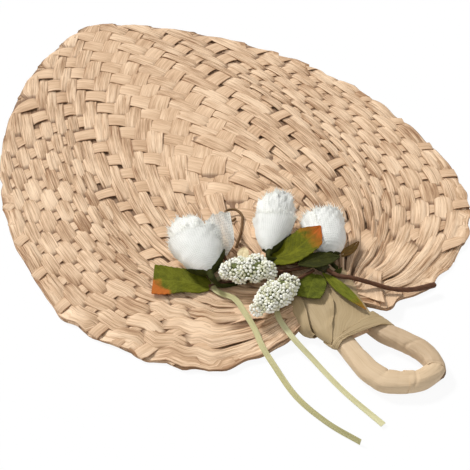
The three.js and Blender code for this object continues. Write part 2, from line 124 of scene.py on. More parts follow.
class Nodes:
    """The node tree of a material or world, with short ways to add nodes and join them."""

    def __init__(self, owner):
        owner.use_nodes = True
        self.tree = owner.node_tree
        self.tree.nodes.clear()

    def node(self, kind, inputs, **settings):
        n = self.tree.nodes.new("ShaderNode" + kind)
        for key, value in settings.items():
            setattr(n, key, value)
        for key, value in inputs.items():
            if isinstance(value, Value):
                self.tree.links.new(value.socket, n.inputs[key])
            else:
                n.inputs[key].default_value = value
        return n

    def value(self, kind, inputs, output=0, **settings):
        return Value(self, self.node(kind, inputs, **settings).outputs[output])

    def math(self, operation, a, b=0.0, c=0.0):
        return self.value("Math", {0: a, 1: b, 2: c}, operation=operation)

    def most(self, a, b):
        return self.math("MAXIMUM", a, b)

    def places(self):
        """Texture places, and their parts along and across a piece."""
        uv = self.value("TexCoord", {}, "UV")
        parts = self.node("SeparateXYZ", {0: uv}).outputs
        return uv, Value(self, parts[0]), Value(self, parts[1])

    def stretch(self, uv, along, across):
        return self.value("Mapping", {"Vector": uv, "Scale": (along, across, 1.0)})

    def noise(self, where, detail, rough=0.55, scale=1.0):
        inputs = {"Vector": where, "Scale": scale, "Detail": detail, "Roughness": rough}
        return self.value("TexNoise", inputs, "Fac")

    def specks(self, scale, detail):
        return self.noise(self.value("TexCoord", {}, "Object"), detail, scale=scale)

    def ramp(self, value, *stops):
        n = self.node("ValToRGB", {"Fac": value})
        elements = n.color_ramp.elements
        while len(elements) < len(stops):
            elements.new(0.5)
        for element, (at, colour) in zip(elements, stops):
            element.position = at
            element.color = colour
        return Value(self, n.outputs["Color"])

    def mix(self, factor, a, b):
        return self.value("Mix", {"Factor": factor, 6: a, 7: b}, 2, data_type="RGBA")

    def surface(self, colour, rough, height, strength, distance, more):
        """The finished surface, bumped by a height of a strength over a distance in metres."""
        normal = self.value("Bump", {"Height": height, "Strength": strength, "Distance": distance}, "Normal")
        inputs = {"Base Color": colour, "Roughness": rough, "Normal": normal, **more}
        self.node("OutputMaterial", {"Surface": self.value("BsdfPrincipled", inputs)})


def srgb(r, g, b):
    """A colour on a scale of 0 to 255, as the shader takes it."""
    def linear(c):
        c /= 255
        return c / 12.92 if c <= 0.04045 else ((c + 0.055) / 1.055) ** 2.4
    return (linear(r), linear(g), linear(b), 1.0)


# World and floor
SKY, SKY_STRENGTH = (0.97, 0.985, 1.0, 1.0), 0.42
FLOOR_SIZE, FLOOR_FALL, FLOOR_GLOW = 6.0, 0.0006, 0.92
FLOOR_GREY = (0.94, 0.94, 0.94, 1)
RAYS_SEEN = ("Camera", "Glossy", "Transmission")


def seen(n):
    """1 on what is looked at, also through gloss or a sheer cloth, and 0 on what only gives light."""
    path = n.node("LightPath", {}).outputs
    camera, gloss, through = (Value(n, path[f"Is {kind} Ray"]) for kind in RAYS_SEEN)
    return n.most(n.most(camera, gloss), through)


def make_world():
    world = bpy.data.worlds.new("studio")
    scene.world = world
    n = Nodes(world)
    sky = n.value("Background", {"Color": SKY, "Strength": SKY_STRENGTH})
    white = n.value("Background", {"Color": WHITE, "Strength": 1.0})
    n.node("OutputWorld", {"Surface": n.value("MixShader", {0: seen(n), 1: sky, 2: white})})


def make_floor():
    corners = [(x * FLOOR_SIZE, y * FLOOR_SIZE, -FLOOR_FALL) for x, y in ((-1, -1), (1, -1), (1, 1), (-1, 1))]
    mesh = bpy.data.meshes.new("floor")
    mesh.from_pydata(corners, [], [(0, 1, 2, 3)])
    floor = add_object("floor", mesh)
    m = bpy.data.materials.new("floor_white")
    n = Nodes(m)
    matt = n.value("BsdfDiffuse", {"Color": FLOOR_GREY})
    glow = n.value("Emission", {"Color": WHITE, "Strength": 1.0})
    mixed = n.value("MixShader", {0: seen(n) * FLOOR_GLOW, 1: matt, 2: glow})
    n.node("OutputMaterial", {"Surface": mixed})
    mesh.materials.append(m)


make_world()
make_floor()


# Lines and curves
def unit(v):
    v = np.asarray(v, float)
    return v / np.maximum(np.linalg.norm(v, axis=-1, keepdims=True), 1e-9)


def lengths(line):
    return np.concatenate([[0], np.cumsum(np.linalg.norm(np.diff(line, axis=0), axis=1))])


def even(line, count):
    far = lengths(line)
    want = np.linspace(0, far[-1], count)
    return np.stack([np.interp(want, far, line[:, k]) for k in range(line.shape[1])], -1)


def catmull(points, count):
    """Centripetal Catmull-Rom curve through points, as count points evenly spaced along it."""
    p = np.asarray(points, float)
    p = np.vstack([2 * p[0] - p[1], p, 2 * p[-1] - p[-2]])
    fine = []
    for i in range(1, len(p) - 2):
        q = p[i - 1:i + 3]
        d = np.maximum(np.linalg.norm(np.diff(q, axis=0), axis=1) ** 0.5, 1e-6)
        s = np.concatenate([[0], np.cumsum(d)])
        for t in np.linspace(s[1], s[2], 40, endpoint=i == len(p) - 3):
            a = [((s[k + 1] - t) * q[k] + (t - s[k]) * q[k + 1]) / (s[k + 1] - s[k]) for k in range(3)]
            b = [((s[k + 2] - t) * a[k] + (t - s[k]) * a[k + 1]) / (s[k + 2] - s[k]) for k in range(2)]
            fine.append(((s[2] - t) * b[0] + (t - s[1]) * b[1]) / (s[2] - s[1]))
    return even(np.array(fine), count)


def ways(line):
    """The way along a line at each point, the level way across it and the way up."""
    along = unit(np.gradient(line, axis=0))
    across = unit(np.cross((0, 0, 1), along))
    return along, across, np.cross(along, across)


def turns(count):
    return np.linspace(0, 2 * math.pi, count, endpoint=False)


def ease(value, start, span):
    """0 up to a start, rising to 1 over a span."""
    return np.clip((value - start) / span, 0, 1)


def curve(at, values):
    return lambda y: np.interp(y, at, values)


def ripple(rng, low, high, terms=4):
    """A smooth random function of one number, within about -1 to 1."""
    k, a = rng.uniform(low, high, terms), rng.uniform(0, 2 * math.pi, terms)
    return lambda t: sum(np.sin(ki * np.asarray(t) + ai) for ki, ai in zip(k, a)) / terms ** 0.5 * 0.8


def smooth(values, passes):
    v = np.asarray(values, float).copy()
    for _ in range(passes):
        v[1:-1] = (v[:-2] + 2 * v[1:-1] + v[2:]) / 4
    return v


# Meshes
SHARP_DEGREES = 50


def volume(points, faces):
    fans = np.array([(f[0], f[i], f[i + 1]) for f in faces for i in range(1, len(f) - 1)])
    a, b, c = (points[fans[:, k]] for k in range(3))
    return float(np.sum(a * np.cross(b, c)))


class Shape:
    """Points, faces, texture places and tones of one piece, in millimetres of the fan's frame."""

    def __init__(self):
        self.points, self.faces, self.uvs, self.tones, self.count = [], [], [], [], 0

    def add(self, points, faces, uvs, tone=(0.0, 0.0)):
        """A closed skin, turned right side out. tone is, per point, how far it is drawn in and how much
        painted shade it takes.
        """
        points = np.asarray(points, float).reshape(-1, 3)
        if volume(points, faces) < 0:
            faces = [f[::-1] for f in faces]
        self.points.append(points)
        self.uvs.append(np.asarray(uvs, float).reshape(-1, 2))
        self.tones.append(np.broadcast_to(np.asarray(tone, float), (len(points), 2)))
        self.faces += [[i + self.count for i in f] for f in faces]
        self.count += len(points)

    def loft(self, rings, u, v, tone=((0.0, 0.0),)):
        """Closed skin over rings of equal point count: u and tone per ring, v per ring point."""
        rings = np.asarray(rings, float)
        m, k = rings.shape[:2]
        faces = []
        for a in range(0, (m - 1) * k, k):
            faces += [[a + j, a + (j + 1) % k, a + k + (j + 1) % k, a + k + j] for j in range(k)]
        faces += [list(range(k))[::-1], [(m - 1) * k + j for j in range(k)]]
        tone = np.repeat(np.broadcast_to(tone, (m, 2)), k, axis=0)
        self.add(rings, faces, np.stack(np.meshgrid(u, v, indexing="ij"), -1), tone)

    def sheet(self, grid, thick, u=None, v=None):
        """Thin closed leaf over a grid of points."""
        m, k = grid.shape[:2]
        half = unit(np.cross(np.gradient(grid, axis=0), np.gradient(grid, axis=1))) * thick / 2
        at = lambda i, j, side: side * m * k + i * k + j
        faces = []
        for i in range(m - 1):
            for j in range(k - 1):
                faces.append([at(i, j, 0), at(i + 1, j, 0), at(i + 1, j + 1, 0), at(i, j + 1, 0)])
                faces.append([at(i, j, 1), at(i, j + 1, 1), at(i + 1, j + 1, 1), at(i + 1, j, 1)])
        rim = [(i, 0) for i in range(m)] + [(m - 1, j) for j in range(1, k)]
        rim += [(i, k - 1) for i in range(m - 2, -1, -1)] + [(0, j) for j in range(k - 2, 0, -1)]
        for (a, b), (c, d) in zip(rim, rim[1:] + rim[:1]):
            faces.append([at(a, b, 0), at(a, b, 1), at(c, d, 1), at(c, d, 0)])
        u = np.linspace(0, 1, m) if u is None else u
        v = np.linspace(0, 1, k) if v is None else v
        uv = np.stack(np.meshgrid(u, v, indexing="ij"), -1)
        self.add(np.stack([grid + half, grid - half]), faces, np.stack([uv, uv]))

    def piece(self, name, material, slot, *nodes):
        mesh = bpy.data.meshes.new(name)
        mesh.from_pydata(place(np.concatenate(self.points)).tolist(), [], self.faces)
        uv = np.concatenate(self.uvs)
        layer = mesh.uv_layers.new(name="UVMap")
        loops = np.empty(len(mesh.loops), np.int32)
        mesh.loops.foreach_get("vertex_index", loops)
        layer.data.foreach_set("uv", uv[loops].astype(np.float32).ravel())
        tones = np.concatenate(self.tones)
        if tones.any():
            # Two attributes: how far the piece is drawn in, and its painted shade where it ducks under
            # another strip
            for label, values in zip(("drawn", "sunk_shade"), tones.T.astype(np.float32)):
                mesh.attributes.new(label, "FLOAT", "POINT").data.foreach_set("value", values)
        mesh.polygons.foreach_set("use_smooth", [True] * len(mesh.polygons))
        mesh.materials.append(material)
        o = add_object(name, mesh)
        mesh.set_sharp_from_angle(angle=math.radians(SHARP_DEGREES))
        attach(o, "root")
        if nodes:
            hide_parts(*nodes)
        return o


# Materials
# The second colour is painted shade: a dark brown laid where a strip ducks under another, in place of its
# shadow
PALM_FLECK, PALM_PAINTED_SHADE = srgb(158, 108, 68), srgb(104, 68, 40)
# Shares of painted crease shade, flecks, dark side lines (browning and painted shadow) and painted shade
# under crossing strips
CREASE_SHADE_SHARE, FLECK_SHARE, EDGE_BROWN_AND_SHADE_SHARE, PAINTED_SHADE_SHARE = 0.6, 0.4, 0.74, 0.82
GAUZE_THREADS, VEINS, TIP_BLUR = 7.5, 9.0, 0.13


def palm_material(name, light, middle, dark, contrast, edges_browned_and_shaded=False):
    """Dried palm leaf: lengthwise fibres, slow changes of tone and flecks, sharper where it is drawn in.

    Painted shade where it ducks under another strip; if edged, dark side lines too, of browning and painted
    shadow.
    """
    m = bpy.data.materials.new(name)
    n = Nodes(m)
    light, middle, dark = srgb(*light), srgb(*middle), srgb(*dark)
    uv, _, across = n.places()
    fibre = n.noise(n.stretch(uv, 0.35, 9.0), 4.0, 0.7)
    fine = n.noise(n.stretch(uv, 0.8, 34.0), 2.0, 0.6)
    tone = n.noise(n.stretch(uv, 0.3, 0.6), 2.0, 0.5)
    fleck = n.noise(n.stretch(uv, 0.9, 3.5), 5.0, 0.7)
    pleat = n.noise(n.stretch(uv, 0.22, 5.5), 3.0, 0.6)
    # How far the strip is drawn in, and its painted shade where it ducks under another strip
    drawn, sunk_shade = (n.value("Attribute", {}, "Fac", attribute_name=key) for key in ("drawn", "sunk_shade"))
    grain = fine * 0.4 + fibre * 0.6
    sharp = drawn * 1.3 + 1.0
    value = (tone * 0.3 + grain * 0.7 - 0.49) * (sharp * contrast) + 0.5
    colour = n.ramp(value, (0.35, dark), (0.49, middle), (0.61, light))
    # Painted shade: dark lines in the lengthwise creases of a drawn-in strip, in place of their shadows
    folds = n.ramp(pleat, (0.35, WHITE), (0.42, BLACK))
    colour = n.mix(folds * drawn * CREASE_SHADE_SHARE, colour, dark)
    spots = n.ramp(fleck, (0.64, BLACK), (0.76, WHITE))
    colour = n.mix(spots * FLECK_SHARE, colour, PALM_FLECK)
    # Dark lines along both sides of a strip: partly browned edges, partly painted shadow where it meets its
    # neighbour
    if edges_browned_and_shaded:
        side = abs(n.math("FRACT", across + 0.5) - 0.5)
        edge_brown_and_shade = n.ramp(side, (0.385, BLACK), (0.43, WHITE))
        colour = n.mix(edge_brown_and_shade * EDGE_BROWN_AND_SHADE_SHARE, colour, dark)
    # Painted shade: dark brown where the strip ducks under another, in place of the shadow there
    colour = n.mix(sunk_shade * PAINTED_SHADE_SHARE, colour, PALM_PAINTED_SHADE)
    n.surface(colour, grain * 0.3 + 0.42, grain * sharp, 0.9 * contrast, 0.0007, {"Specular IOR Level": 0.3})
    return m


def gauze_material(name, alpha):
    """Thin white cotton: a fine open weave of threads with a little unevenness."""
    m = bpy.data.materials.new(name)
    n = Nodes(m)
    uv, along, across = n.places()
    turn = GAUZE_THREADS * 2 * math.pi
    wobble = n.noise(uv, 2.0, scale=1.6)
    warp = n.math("SINE", along * turn + wobble * 9.0)
    weft = n.math("SINE", across * turn + wobble * 7.0)
    weave = n.most(warp, weft) * 0.5 + 0.5
    value = weave * 0.32 + n.noise(uv, 4.0, scale=0.7) * 0.68
    grey, white = (0.2, srgb(220, 221, 212)), (0.75, srgb(254, 253, 247))
    colour = n.ramp(value, grey, (0.5, srgb(244, 244, 236)), white)
    more = {
        "Specular IOR Level": 0.2, "Sheen Weight": 0.25, "Subsurface Weight": 0.25,
        "Subsurface Radius": (1.0, 1.0, 1.0), "Subsurface Scale": 0.002,
    }
    if alpha < 1:
        more["Alpha"] = weave * 0.18 + (abs(across * 1.25 - 1.0) * 0.5 + (alpha - 0.4))
    n.surface(colour, 0.85, weave, 0.5, 0.0003, more)
    return m


def leaf_material(name, base, light, tip, tip_at, shade, lean=0.0):
    """Printed cloth leaf: veins from the midrib, blotchy greens and a tip of another colour.

    The tip's colour starts at tip_at along the leaf, and lean moves it to one side.
    """
    m = bpy.data.materials.new(name)
    n = Nodes(m)
    base, light, tip, shade = srgb(*base), srgb(*light), srgb(*tip), srgb(*shade)
    uv, along, across = n.places()
    side = abs(across - 0.5)
    saw = abs(n.math("FRACT", along * VEINS - side * 5.0) - 0.5)
    vein = n.math("SMOOTH_MAX", saw - 0.40, 0.0, 0.03) * 9.0
    lines = n.most(vein, n.math("LESS_THAN", side, 0.022))
    blotch = n.noise(n.stretch(uv, 3.0, 2.2), 4.0, 0.6, 1.6)
    fine = n.noise(n.stretch(uv, 16.0, 12.0), 3.0, scale=2.0)
    colour = n.ramp(fine * 0.3 + blotch * 0.7, (0.30, shade), (0.5, base), (0.7, light))
    colour = n.mix(lines * 0.45, colour, light)
    edge = (across - 0.5) * lean + (blotch * 0.5 + (along - 0.25))
    turn = n.ramp(edge, (tip_at - TIP_BLUR, BLACK), (tip_at + TIP_BLUR, (0.9, 0.9, 0.9, 1)))
    colour = n.mix(turn, colour, tip)
    n.surface(colour, 0.7, fine * 0.5 - lines, 0.5, 0.0004, {"Specular IOR Level": 0.12})
    return m


def bark_material(name, base, dark):
    """Paper tape and wire stems: wrapped turns and long dark streaks."""
    m = bpy.data.materials.new(name)
    n = Nodes(m)
    uv, along, across = n.places()
    turn = n.math("FRACT", along * 2.6 + across)
    value = turn * 0.1 + n.noise(n.stretch(uv, 1.2, 9.0), 4.0, 0.65) * 0.88
    colour = n.ramp(value, (0.3, srgb(*dark)), (0.62, srgb(*base)))
    n.surface(colour, 0.7, value, 0.6, 0.0004, {"Specular IOR Level": 0.3})
    return m


def bead_material():
    m = bpy.data.materials.new("berry_cream")
    n = Nodes(m)
    _, tone, _ = n.places()
    pale, cream = (0.0, srgb(214, 213, 176)), (0.25, srgb(240, 238, 220))
    colour = n.ramp(tone, pale, cream, (0.6, srgb(250, 249, 238)), (1.0, srgb(255, 254, 248)))
    speck = n.specks(2600.0, 2.0)
    colour = n.mix(speck * 0.15, colour, srgb(206, 202, 160))
    n.surface(colour, 0.55, speck, 0.3, 0.0002, {"Specular IOR Level": 0.4})
    return m


def core_material():
    m = bpy.data.materials.new("berry_stalks")
    n = Nodes(m)
    speck = n.specks(700.0, 4.0)
    colour = n.ramp(speck, (0.35, srgb(52, 60, 20)), (0.65, srgb(122, 128, 66)))
    n.surface(colour, 0.8, speck, 0.8, 0.0006, {})
    return m


def ribbon_material(name, light, dark):
    """Organza: a thin shiny weave."""
    m = bpy.data.materials.new(name)
    n = Nodes(m)
    uv, along, across = n.places()
    weave = n.most(n.math("SINE", along * 150.0), n.math("SINE", across * 75.0)) * 0.5 + 0.5
    value = weave * 0.3 + n.noise(n.stretch(uv, 0.5, 2.0), 3.0) * 0.7
    colour = n.ramp(value, (0.3, srgb(*dark)), (0.65, srgb(*light)))
    n.surface(colour, 0.42, weave, 0.3, 0.0002, {"Specular IOR Level": 0.5, "Sheen Weight": 0.3})
    return m


PALM = palm_material("palm_leaf_dry", (248, 216, 181), (213, 177, 141), (142, 98, 60), 0.74, True)
PALM_SMOOTH = palm_material("palm_leaf_wrap", (230, 206, 173), (214, 187, 152), (172, 142, 104), 0.45)
PALM_GREY = palm_material("palm_leaf_neck", (197, 175, 139), (175, 152, 114), (134, 111, 73), 0.5)
# A dark brown copy of the palm leaf: painted shadow for the loop's core where it shows in the gap between the
# wraps
PALM_SHADE = palm_material("palm_leaf_core_shadow", (150, 118, 84), (112, 84, 58), (70, 50, 34), 0.8)
GAUZE = gauze_material("cotton_gauze", 1.0)
GAUZE_SHEER = gauze_material("cotton_gauze_sheer", 0.72)
# Colours of each cloth leaf: body, light parts, tip, where the tip starts, shade and the tip's lean
NO_TIP = 1.3
LEAF_COLOURS = {
    "leaf_olive": ((98, 100, 20), (126, 128, 38), (190, 102, 42), 1.0, (64, 68, 12), 0.55),
    "leaf_bright": ((92, 94, 8), (122, 122, 22), (182, 88, 30), 0.81, (56, 58, 8), -0.1),
    "leaf_slender_green": ((104, 108, 26), (132, 132, 46), (160, 100, 38), 0.86, (66, 72, 14)),
    "leaf_round_green": ((84, 90, 20), (112, 118, 36), (78, 82, 24), NO_TIP, (50, 56, 12)),
    "leaf_dark": ((58, 62, 16), (86, 90, 30), (60, 62, 18), NO_TIP, (34, 36, 8)),
    "leaf_shaded": ((46, 48, 10), (68, 68, 18), (44, 44, 12), NO_TIP, (26, 28, 6)),
    "stem_green": ((46, 50, 14), (68, 70, 24), (48, 50, 14), NO_TIP, (26, 28, 6)),
    "leaf_brown": ((124, 94, 44), (150, 118, 62), (120, 78, 36), 0.9, (84, 62, 28)),
    "bract_cream": ((226, 208, 166), (238, 222, 186), (208, 182, 138), 0.9, (192, 170, 126)),
}
CLOTH = {name: leaf_material(name, *colours) for name, colours in LEAF_COLOURS.items()}
TWIG = bark_material("stem_brown", (106, 68, 44), (56, 33, 20))
TENDRIL = bark_material("tendril_brown", (128, 96, 58), (78, 52, 30))
TAPE = bark_material("tape_green", (62, 60, 28), (36, 32, 14))
BEADS = bead_material()
BEAD_CORE = core_material()
RIBBON = ribbon_material("organza_sage", (214, 208, 160), (176, 168, 114))
RIBBON_OLIVE = ribbon_material("organza_olive", (186, 178, 122), (146, 138, 84))


# Ribbons: flat cords
RIBBON_WIDTH, RIBBON_THICK, RIBBON_CROWN = 3.0, 0.4, 0.12
RIBBON_STEPS, RIBBON_COLUMNS, RIBBON_FLOOR = 120, 7, 0.05
RIBBON_LEFT = [
    (-27, 49, 8.4), (-33, 54, 6.6), (-39.6, 57.4, 5.0), (-45.0, 56.4, 4.6), (-47.5, 52.4, 4.6),
    (-46.6, 47.6, 5.0), (-42.4, 40.0, 5.4), (-42.4, 29.5, 5.0), (-43.6, 17, 4.6), (-46.0, 5, 4),
    (-46.6, -6.4, 2.6), (-46.8, -28.8, 0.8), (-42.4, -49.2, 0.6), (-35.2, -66.2, 0.6),
]
RIBBON_RIGHT = [
    (-9, 31, 11.4), (-15, 30.4, 11), (-19.5, 29, 9.6), (-24.6, 26.2, 8), (-29.6, 18, 6.9),
    (-30.8, 4.4, 6.2), (-27.8, -12.3, 2.2), (-25, -35.7, 0.7), (-19.8, -62.6, 0.6),
]


def ribbon(node, route, material, lift, twist):
    """A flat band along a route. lift is its height over the route and twist its turn, along the length."""
    line = catmull(route, RIBBON_STEPS)
    at = np.linspace(0, 1, RIBBON_STEPS)
    line[:, 2] += lift(at)
    along, flat, up = ways(line)
    turn = twist(at)[:, None]
    across = flat * np.cos(turn) + up * np.sin(turn)
    through = np.cross(along, across)
    face = np.linspace(-1, 1, RIBBON_COLUMNS)
    profile = [(s, 1) for s in face] + [(s, -1) for s in -face]
    raised = lambda s, side: side * RIBBON_THICK / 2 + RIBBON_CROWN * (1 - s * s)
    rings = np.stack([
        line + across * (s * RIBBON_WIDTH / 2) + through * raised(s, side) for s, side in profile
    ], 1)
    rings[:, :, 2] = np.maximum(rings[:, :, 2], RIBBON_FLOOR)
    shape = Shape()
    shape.loft(rings, lengths(line) / 10, [(s + 1) / 2 for s, _ in profile])
    o = shape.piece(f"organza_{node}", material, "ribbon_sage", node)
    tuple(place(line[:1])[0])
    [tuple(p) for p in place(line)]


ribbon("ribbon_left", RIBBON_LEFT, RIBBON_OLIVE, lambda t: 0.9 * np.clip(3 * (t - 0.5), 0, 1),
       lambda t: 0.25 + 0.95 * np.clip(2.5 * (t - 0.45), 0, 1))
ribbon("ribbon_right", RIBBON_RIGHT, RIBBON, lambda t: 0.2 + 0 * t, lambda t: 0.12 * np.sin(7 * t))


# Weave: sizes of the blade, and the curves of its rungs and arcs
LENGTH, WIDTH, SHOULDER = 317.0, 253.0, 120.0
GATHER, GATHER_REACH, NECK_HALF = 27.0, 48.0, 18.5
HALF, REACH = WIDTH / 2, LENGTH - GATHER
PITCH = REACH / 20.42
ASPECT, SLOPE = 0.431, 1.376
BEND, SQUEEZE = (-0.473, 0.923, -0.573), (1.817, -1.599, 1.115)
FALL, RUNG_RANGE = 1.0, 0.64
TAPER, ROUNDING = 2.05, 0.78
STRIPS, EXTRA, FOLDED = 16, 8, 12
BLADE_Z, MIDDLE_Z, BLADE_LIFT = 0.7, 5.0, 0.75
GATHER_FADE, GATHER_BROAD = 0.9, 2.6
ARC_END, RUNG_END = 0.4, 0.7  # shares of the gather's half width at which arcs and rungs end
# An unfolded rung ends this many pitches outside the outermost arc, sought from this x on
TUCK_OUT, TUCK_FROM = 0.3, 30.0

# Strips: widths, and how these lap over the spaces between them
STRIP_WIDTH, ARC_WIDTH, LOW_RUNG_WIDTH = 11.5, 14.8, 6.6
RUNG_LAP, ARC_LAP, WIDEST_GAP = 1.3, 1.38, 1.1
LOW_RANK, LOW_RANKS, LOW_X, LOW_X_SPAN = 6, 7, 15, 60
STRIP_THICK, COLUMNS = 0.4, 11
SHARES = np.linspace(-1, 1, COLUMNS)  # places across a strip, from side to side
LEVEL, CROWN, ROW_STEP = 0.72, 0.40, 2.0
UPPER_FLOOR, LOWER_FLOOR, HOOK_FLOOR = 0.10, 0.02, 0.03
PLAIN_RANK = 9
# How far a strip keeps its level on each side of a crossing, as a share of the way to the next one
HOLD, HOLD_OVER, HOLD_UNDER, RUN_OUT = 0.24, 0.17, -0.15, 1.2
# Strip number from which an arc swells on top and is drawn in below, over how many strips, and by how much
LENS_FROM, LENS_SPAN, LENS_WIDTH, LENS_CROWN, LENS_LEVEL = 8.5, 4, 0.12, 0.04, 0.35

# Edge of the blade
EDGE_BULGE, EDGE_INSET, EDGE_SOFT, OUTER_HALF = 0.4, 2.0, 3.0, 4.2
EDGE_CATCH, EDGE_WAVE, LOW_WAVE = 6.5, 0.3, 1.3
LOW_ANGLE, LOW_ANGLE_SPAN = 1.75, 0.4
OUTLINE_JOIN, OUTLINE_SKIP, OUTLINE_EASE, OUTLINE_PASSES = 6, 6, 40, 12
# The last of these scales the painted shade on the rows next to a fold or a hook
FOLD_SQUEEZE, FOLD_REACH, FOLD_ROWS, FOLD_FLAT, FOLD_PAINTED_SHADE = 0.75, 10.0, 4, 0.4, 0.2
HOOK = 5.0
# Rows of a hook: distance out from the edge, height in half heights and the sheet's turn in quarter turns
HOOK_ROWS = (
    (-HOOK, -1, 1), (-HOOK / 2, -1, 1), (-0.6, -1, 0.9), (0.4, -0.6, 0.6), (0.75, 0, 0), (0.4, 0.6, -0.6),
)
HOOK_PLACES = (-9, -6.5, -4, -3, -2, -1)
# How far each side's outline stands out of the plain one, by the angle about the shoulders' middle
SWELL_RIGHT = curve(
    (0, 0.2, 0.4, 0.8, 1.0, 1.15, 1.3, 1.5, 1.7, 1.9, 2.0, 2.2, 2.4, 2.6, 2.74, 2.83, 2.9, 2.975,
     3.03, 3.142),
    (-1.4, -2.3, -3.7, -3.6, -3.8, -4.4, -2.6, -0.9, 0.1, 2.0, 3.0, 3.9, 3.6, 4.2, 7.0, 6.8, 9.4, 14.5,
     10.0, 0.0),
)
SWELL_LEFT = curve(
    (0, 0.2, 0.3, 0.4, 0.6, 0.8, 1.0, 1.2, 1.4, 1.6, 1.8, 1.95, 2.04, 2.13, 2.245, 2.32, 2.39, 2.46, 2.495,
     2.555, 2.64, 2.75, 2.83, 2.93, 3.06, 3.142),
    (-1.4, -0.2, 1.3, 0.9, -0.5, -1.2, -1.1, -1.7, -0.2, 0.0, 1.4, 3.4, 0.2, 1.8, -1.8, 4.0, 0.4, 4.4, 3.4,
     8.0, 5.0, 4.2, 3.0, 3.0, 1.5, 0.0),
)


def series(first, f, t):
    return first + t * t * (f[0] + t * (f[1] + t * f[2]))


def evened(x):
    return np.abs(x) / HALF * ASPECT * REACH


def rise(x):
    d, e = RUNG_RANGE * ASPECT * REACH, evened(x)
    return (SLOPE + FALL) * d * (1 - np.exp(-e / d)) - FALL * e


def rung_y(number, x):
    return LENGTH - number * PITCH + rise(x)


def rung_number(x, y):
    return (LENGTH + rise(x) - y) / PITCH


def arc_number(x, y):
    e = evened(x)
    t = np.arctan2(e, y - GATHER)
    share = (np.log(np.hypot(e, y - GATHER) / REACH) - series(-SLOPE * t, BEND, t)) / series(1, SQUEEZE, t)
    return (1 - np.exp(share)) * REACH / PITCH


def arc_point(number, t):
    power = series(1, SQUEEZE, t) * np.log(1 - number * PITCH / REACH)
    r = REACH * np.exp(series(-SLOPE * t, BEND, t) + power)
    return np.stack([r * np.sin(t) * HALF / (ASPECT * REACH), GATHER + r * np.cos(t)], -1)


def arc_angle(s, number):
    """Angle of the arcs at the place where a rung meets the edge."""
    return math.atan2(float(evened(s["edge"])), float(rung_y(number, s["edge"])) - GATHER)


def edge_at(y):
    share = max(0.0, (y - SHOULDER) / (LENGTH - SHOULDER))
    return HALF * max(0.0, 1 - share ** TAPER) ** ROUNDING


def bisect(inside, low, high):
    for _ in range(40):
        middle = (low + high) / 2
        low, high = (middle, high) if inside(middle) else (low, middle)
    return low


def gather_share(x, y):
    return (x / NECK_HALF) ** 2 + (np.maximum(0, y - GATHER) / GATHER_REACH) ** 2


def gather_angle(number):
    return bisect(lambda t: gather_share(*arc_point(number, t)) > ARC_END, 0.0, math.pi)


def blade_height(x, y, lift=BLADE_LIFT):
    away = np.maximum(0, np.sqrt(gather_share(x, y)) - 1) / GATHER_FADE
    return BLADE_Z + lift + (MIDDLE_Z - BLADE_Z) * np.exp(-away * away)


def build_family():
    """The strips of one family by rank, and all their runs from the blade's edge inwards."""
    strips, back = [], []
    for rank in range(STRIPS + EXTRA):
        number = rank + 0.5
        x = bisect(lambda v: v < edge_at(rung_y(number, v)) - EDGE_INSET, 0.0, HALF)
        if rank >= FOLDED:
            outer = back[-1]["number"] - TUCK_OUT
            x = min(x, bisect(lambda v: arc_number(v, rung_y(number, v)) > outer, TUCK_FROM, HALF))
        s = {"rank": rank, "number": number, "edge": x, "end": float(arc_number(x, rung_y(number, x)))}
        strips.append(s)
        if rank < FOLDED:
            back.append({"rank": -1 - rank, "number": s["end"], "from": number, "edge": x})
            s["back"] = back[-1]
    runs = back[::-1] + strips
    for i, s in enumerate(runs):
        gaps = [abs(n["number"] - s["number"]) for n in runs[max(0, i - 1):i + 2] if n is not s]
        s["gap"] = min(WIDEST_GAP, (max(gaps) + sum(gaps) / len(gaps)) / 2)
    return strips, runs


STRIP_LIST, FAMILY = build_family()
OUTER_RANK = FAMILY[0]["rank"]


def outline():
    """The blade's outline as angles and radii about the shoulders' middle: rung ends, then the outer arc."""
    outermost = FAMILY[0]
    low = float(rung_y(FOLDED - 0.5, outermost["edge"]))
    upper = [(edge_at(y), y) for y in np.linspace(LENGTH, low + OUTLINE_JOIN, 90)]
    start, stop = arc_angle(outermost, FOLDED - 0.5), gather_angle(outermost["number"])
    arc = arc_point(outermost["number"], np.linspace(start, stop, 160))
    along = unit(np.gradient(arc, axis=0))
    out = np.stack([-along[:, 1], along[:, 0]], -1)
    reach = EDGE_INSET + (OUTER_HALF - EDGE_INSET) * ease(lengths(arc), 0, OUTLINE_EASE)
    lower = (arc + out * reach[:, None])[OUTLINE_SKIP:]
    x, y = np.concatenate([upper, lower]).T
    angle = np.arctan2(x, y - SHOULDER)
    keep = np.concatenate([[True], angle[1:] > np.maximum.accumulate(angle)[:-1]])
    return angle[keep], smooth(np.hypot(x, y - SHOULDER)[keep], OUTLINE_PASSES)


OUTLINE_ANGLE, OUTLINE_RADIUS = outline()
OUTLINE_WAVE = ripple(np.random.default_rng(17), 26.0, 58.0, 5)


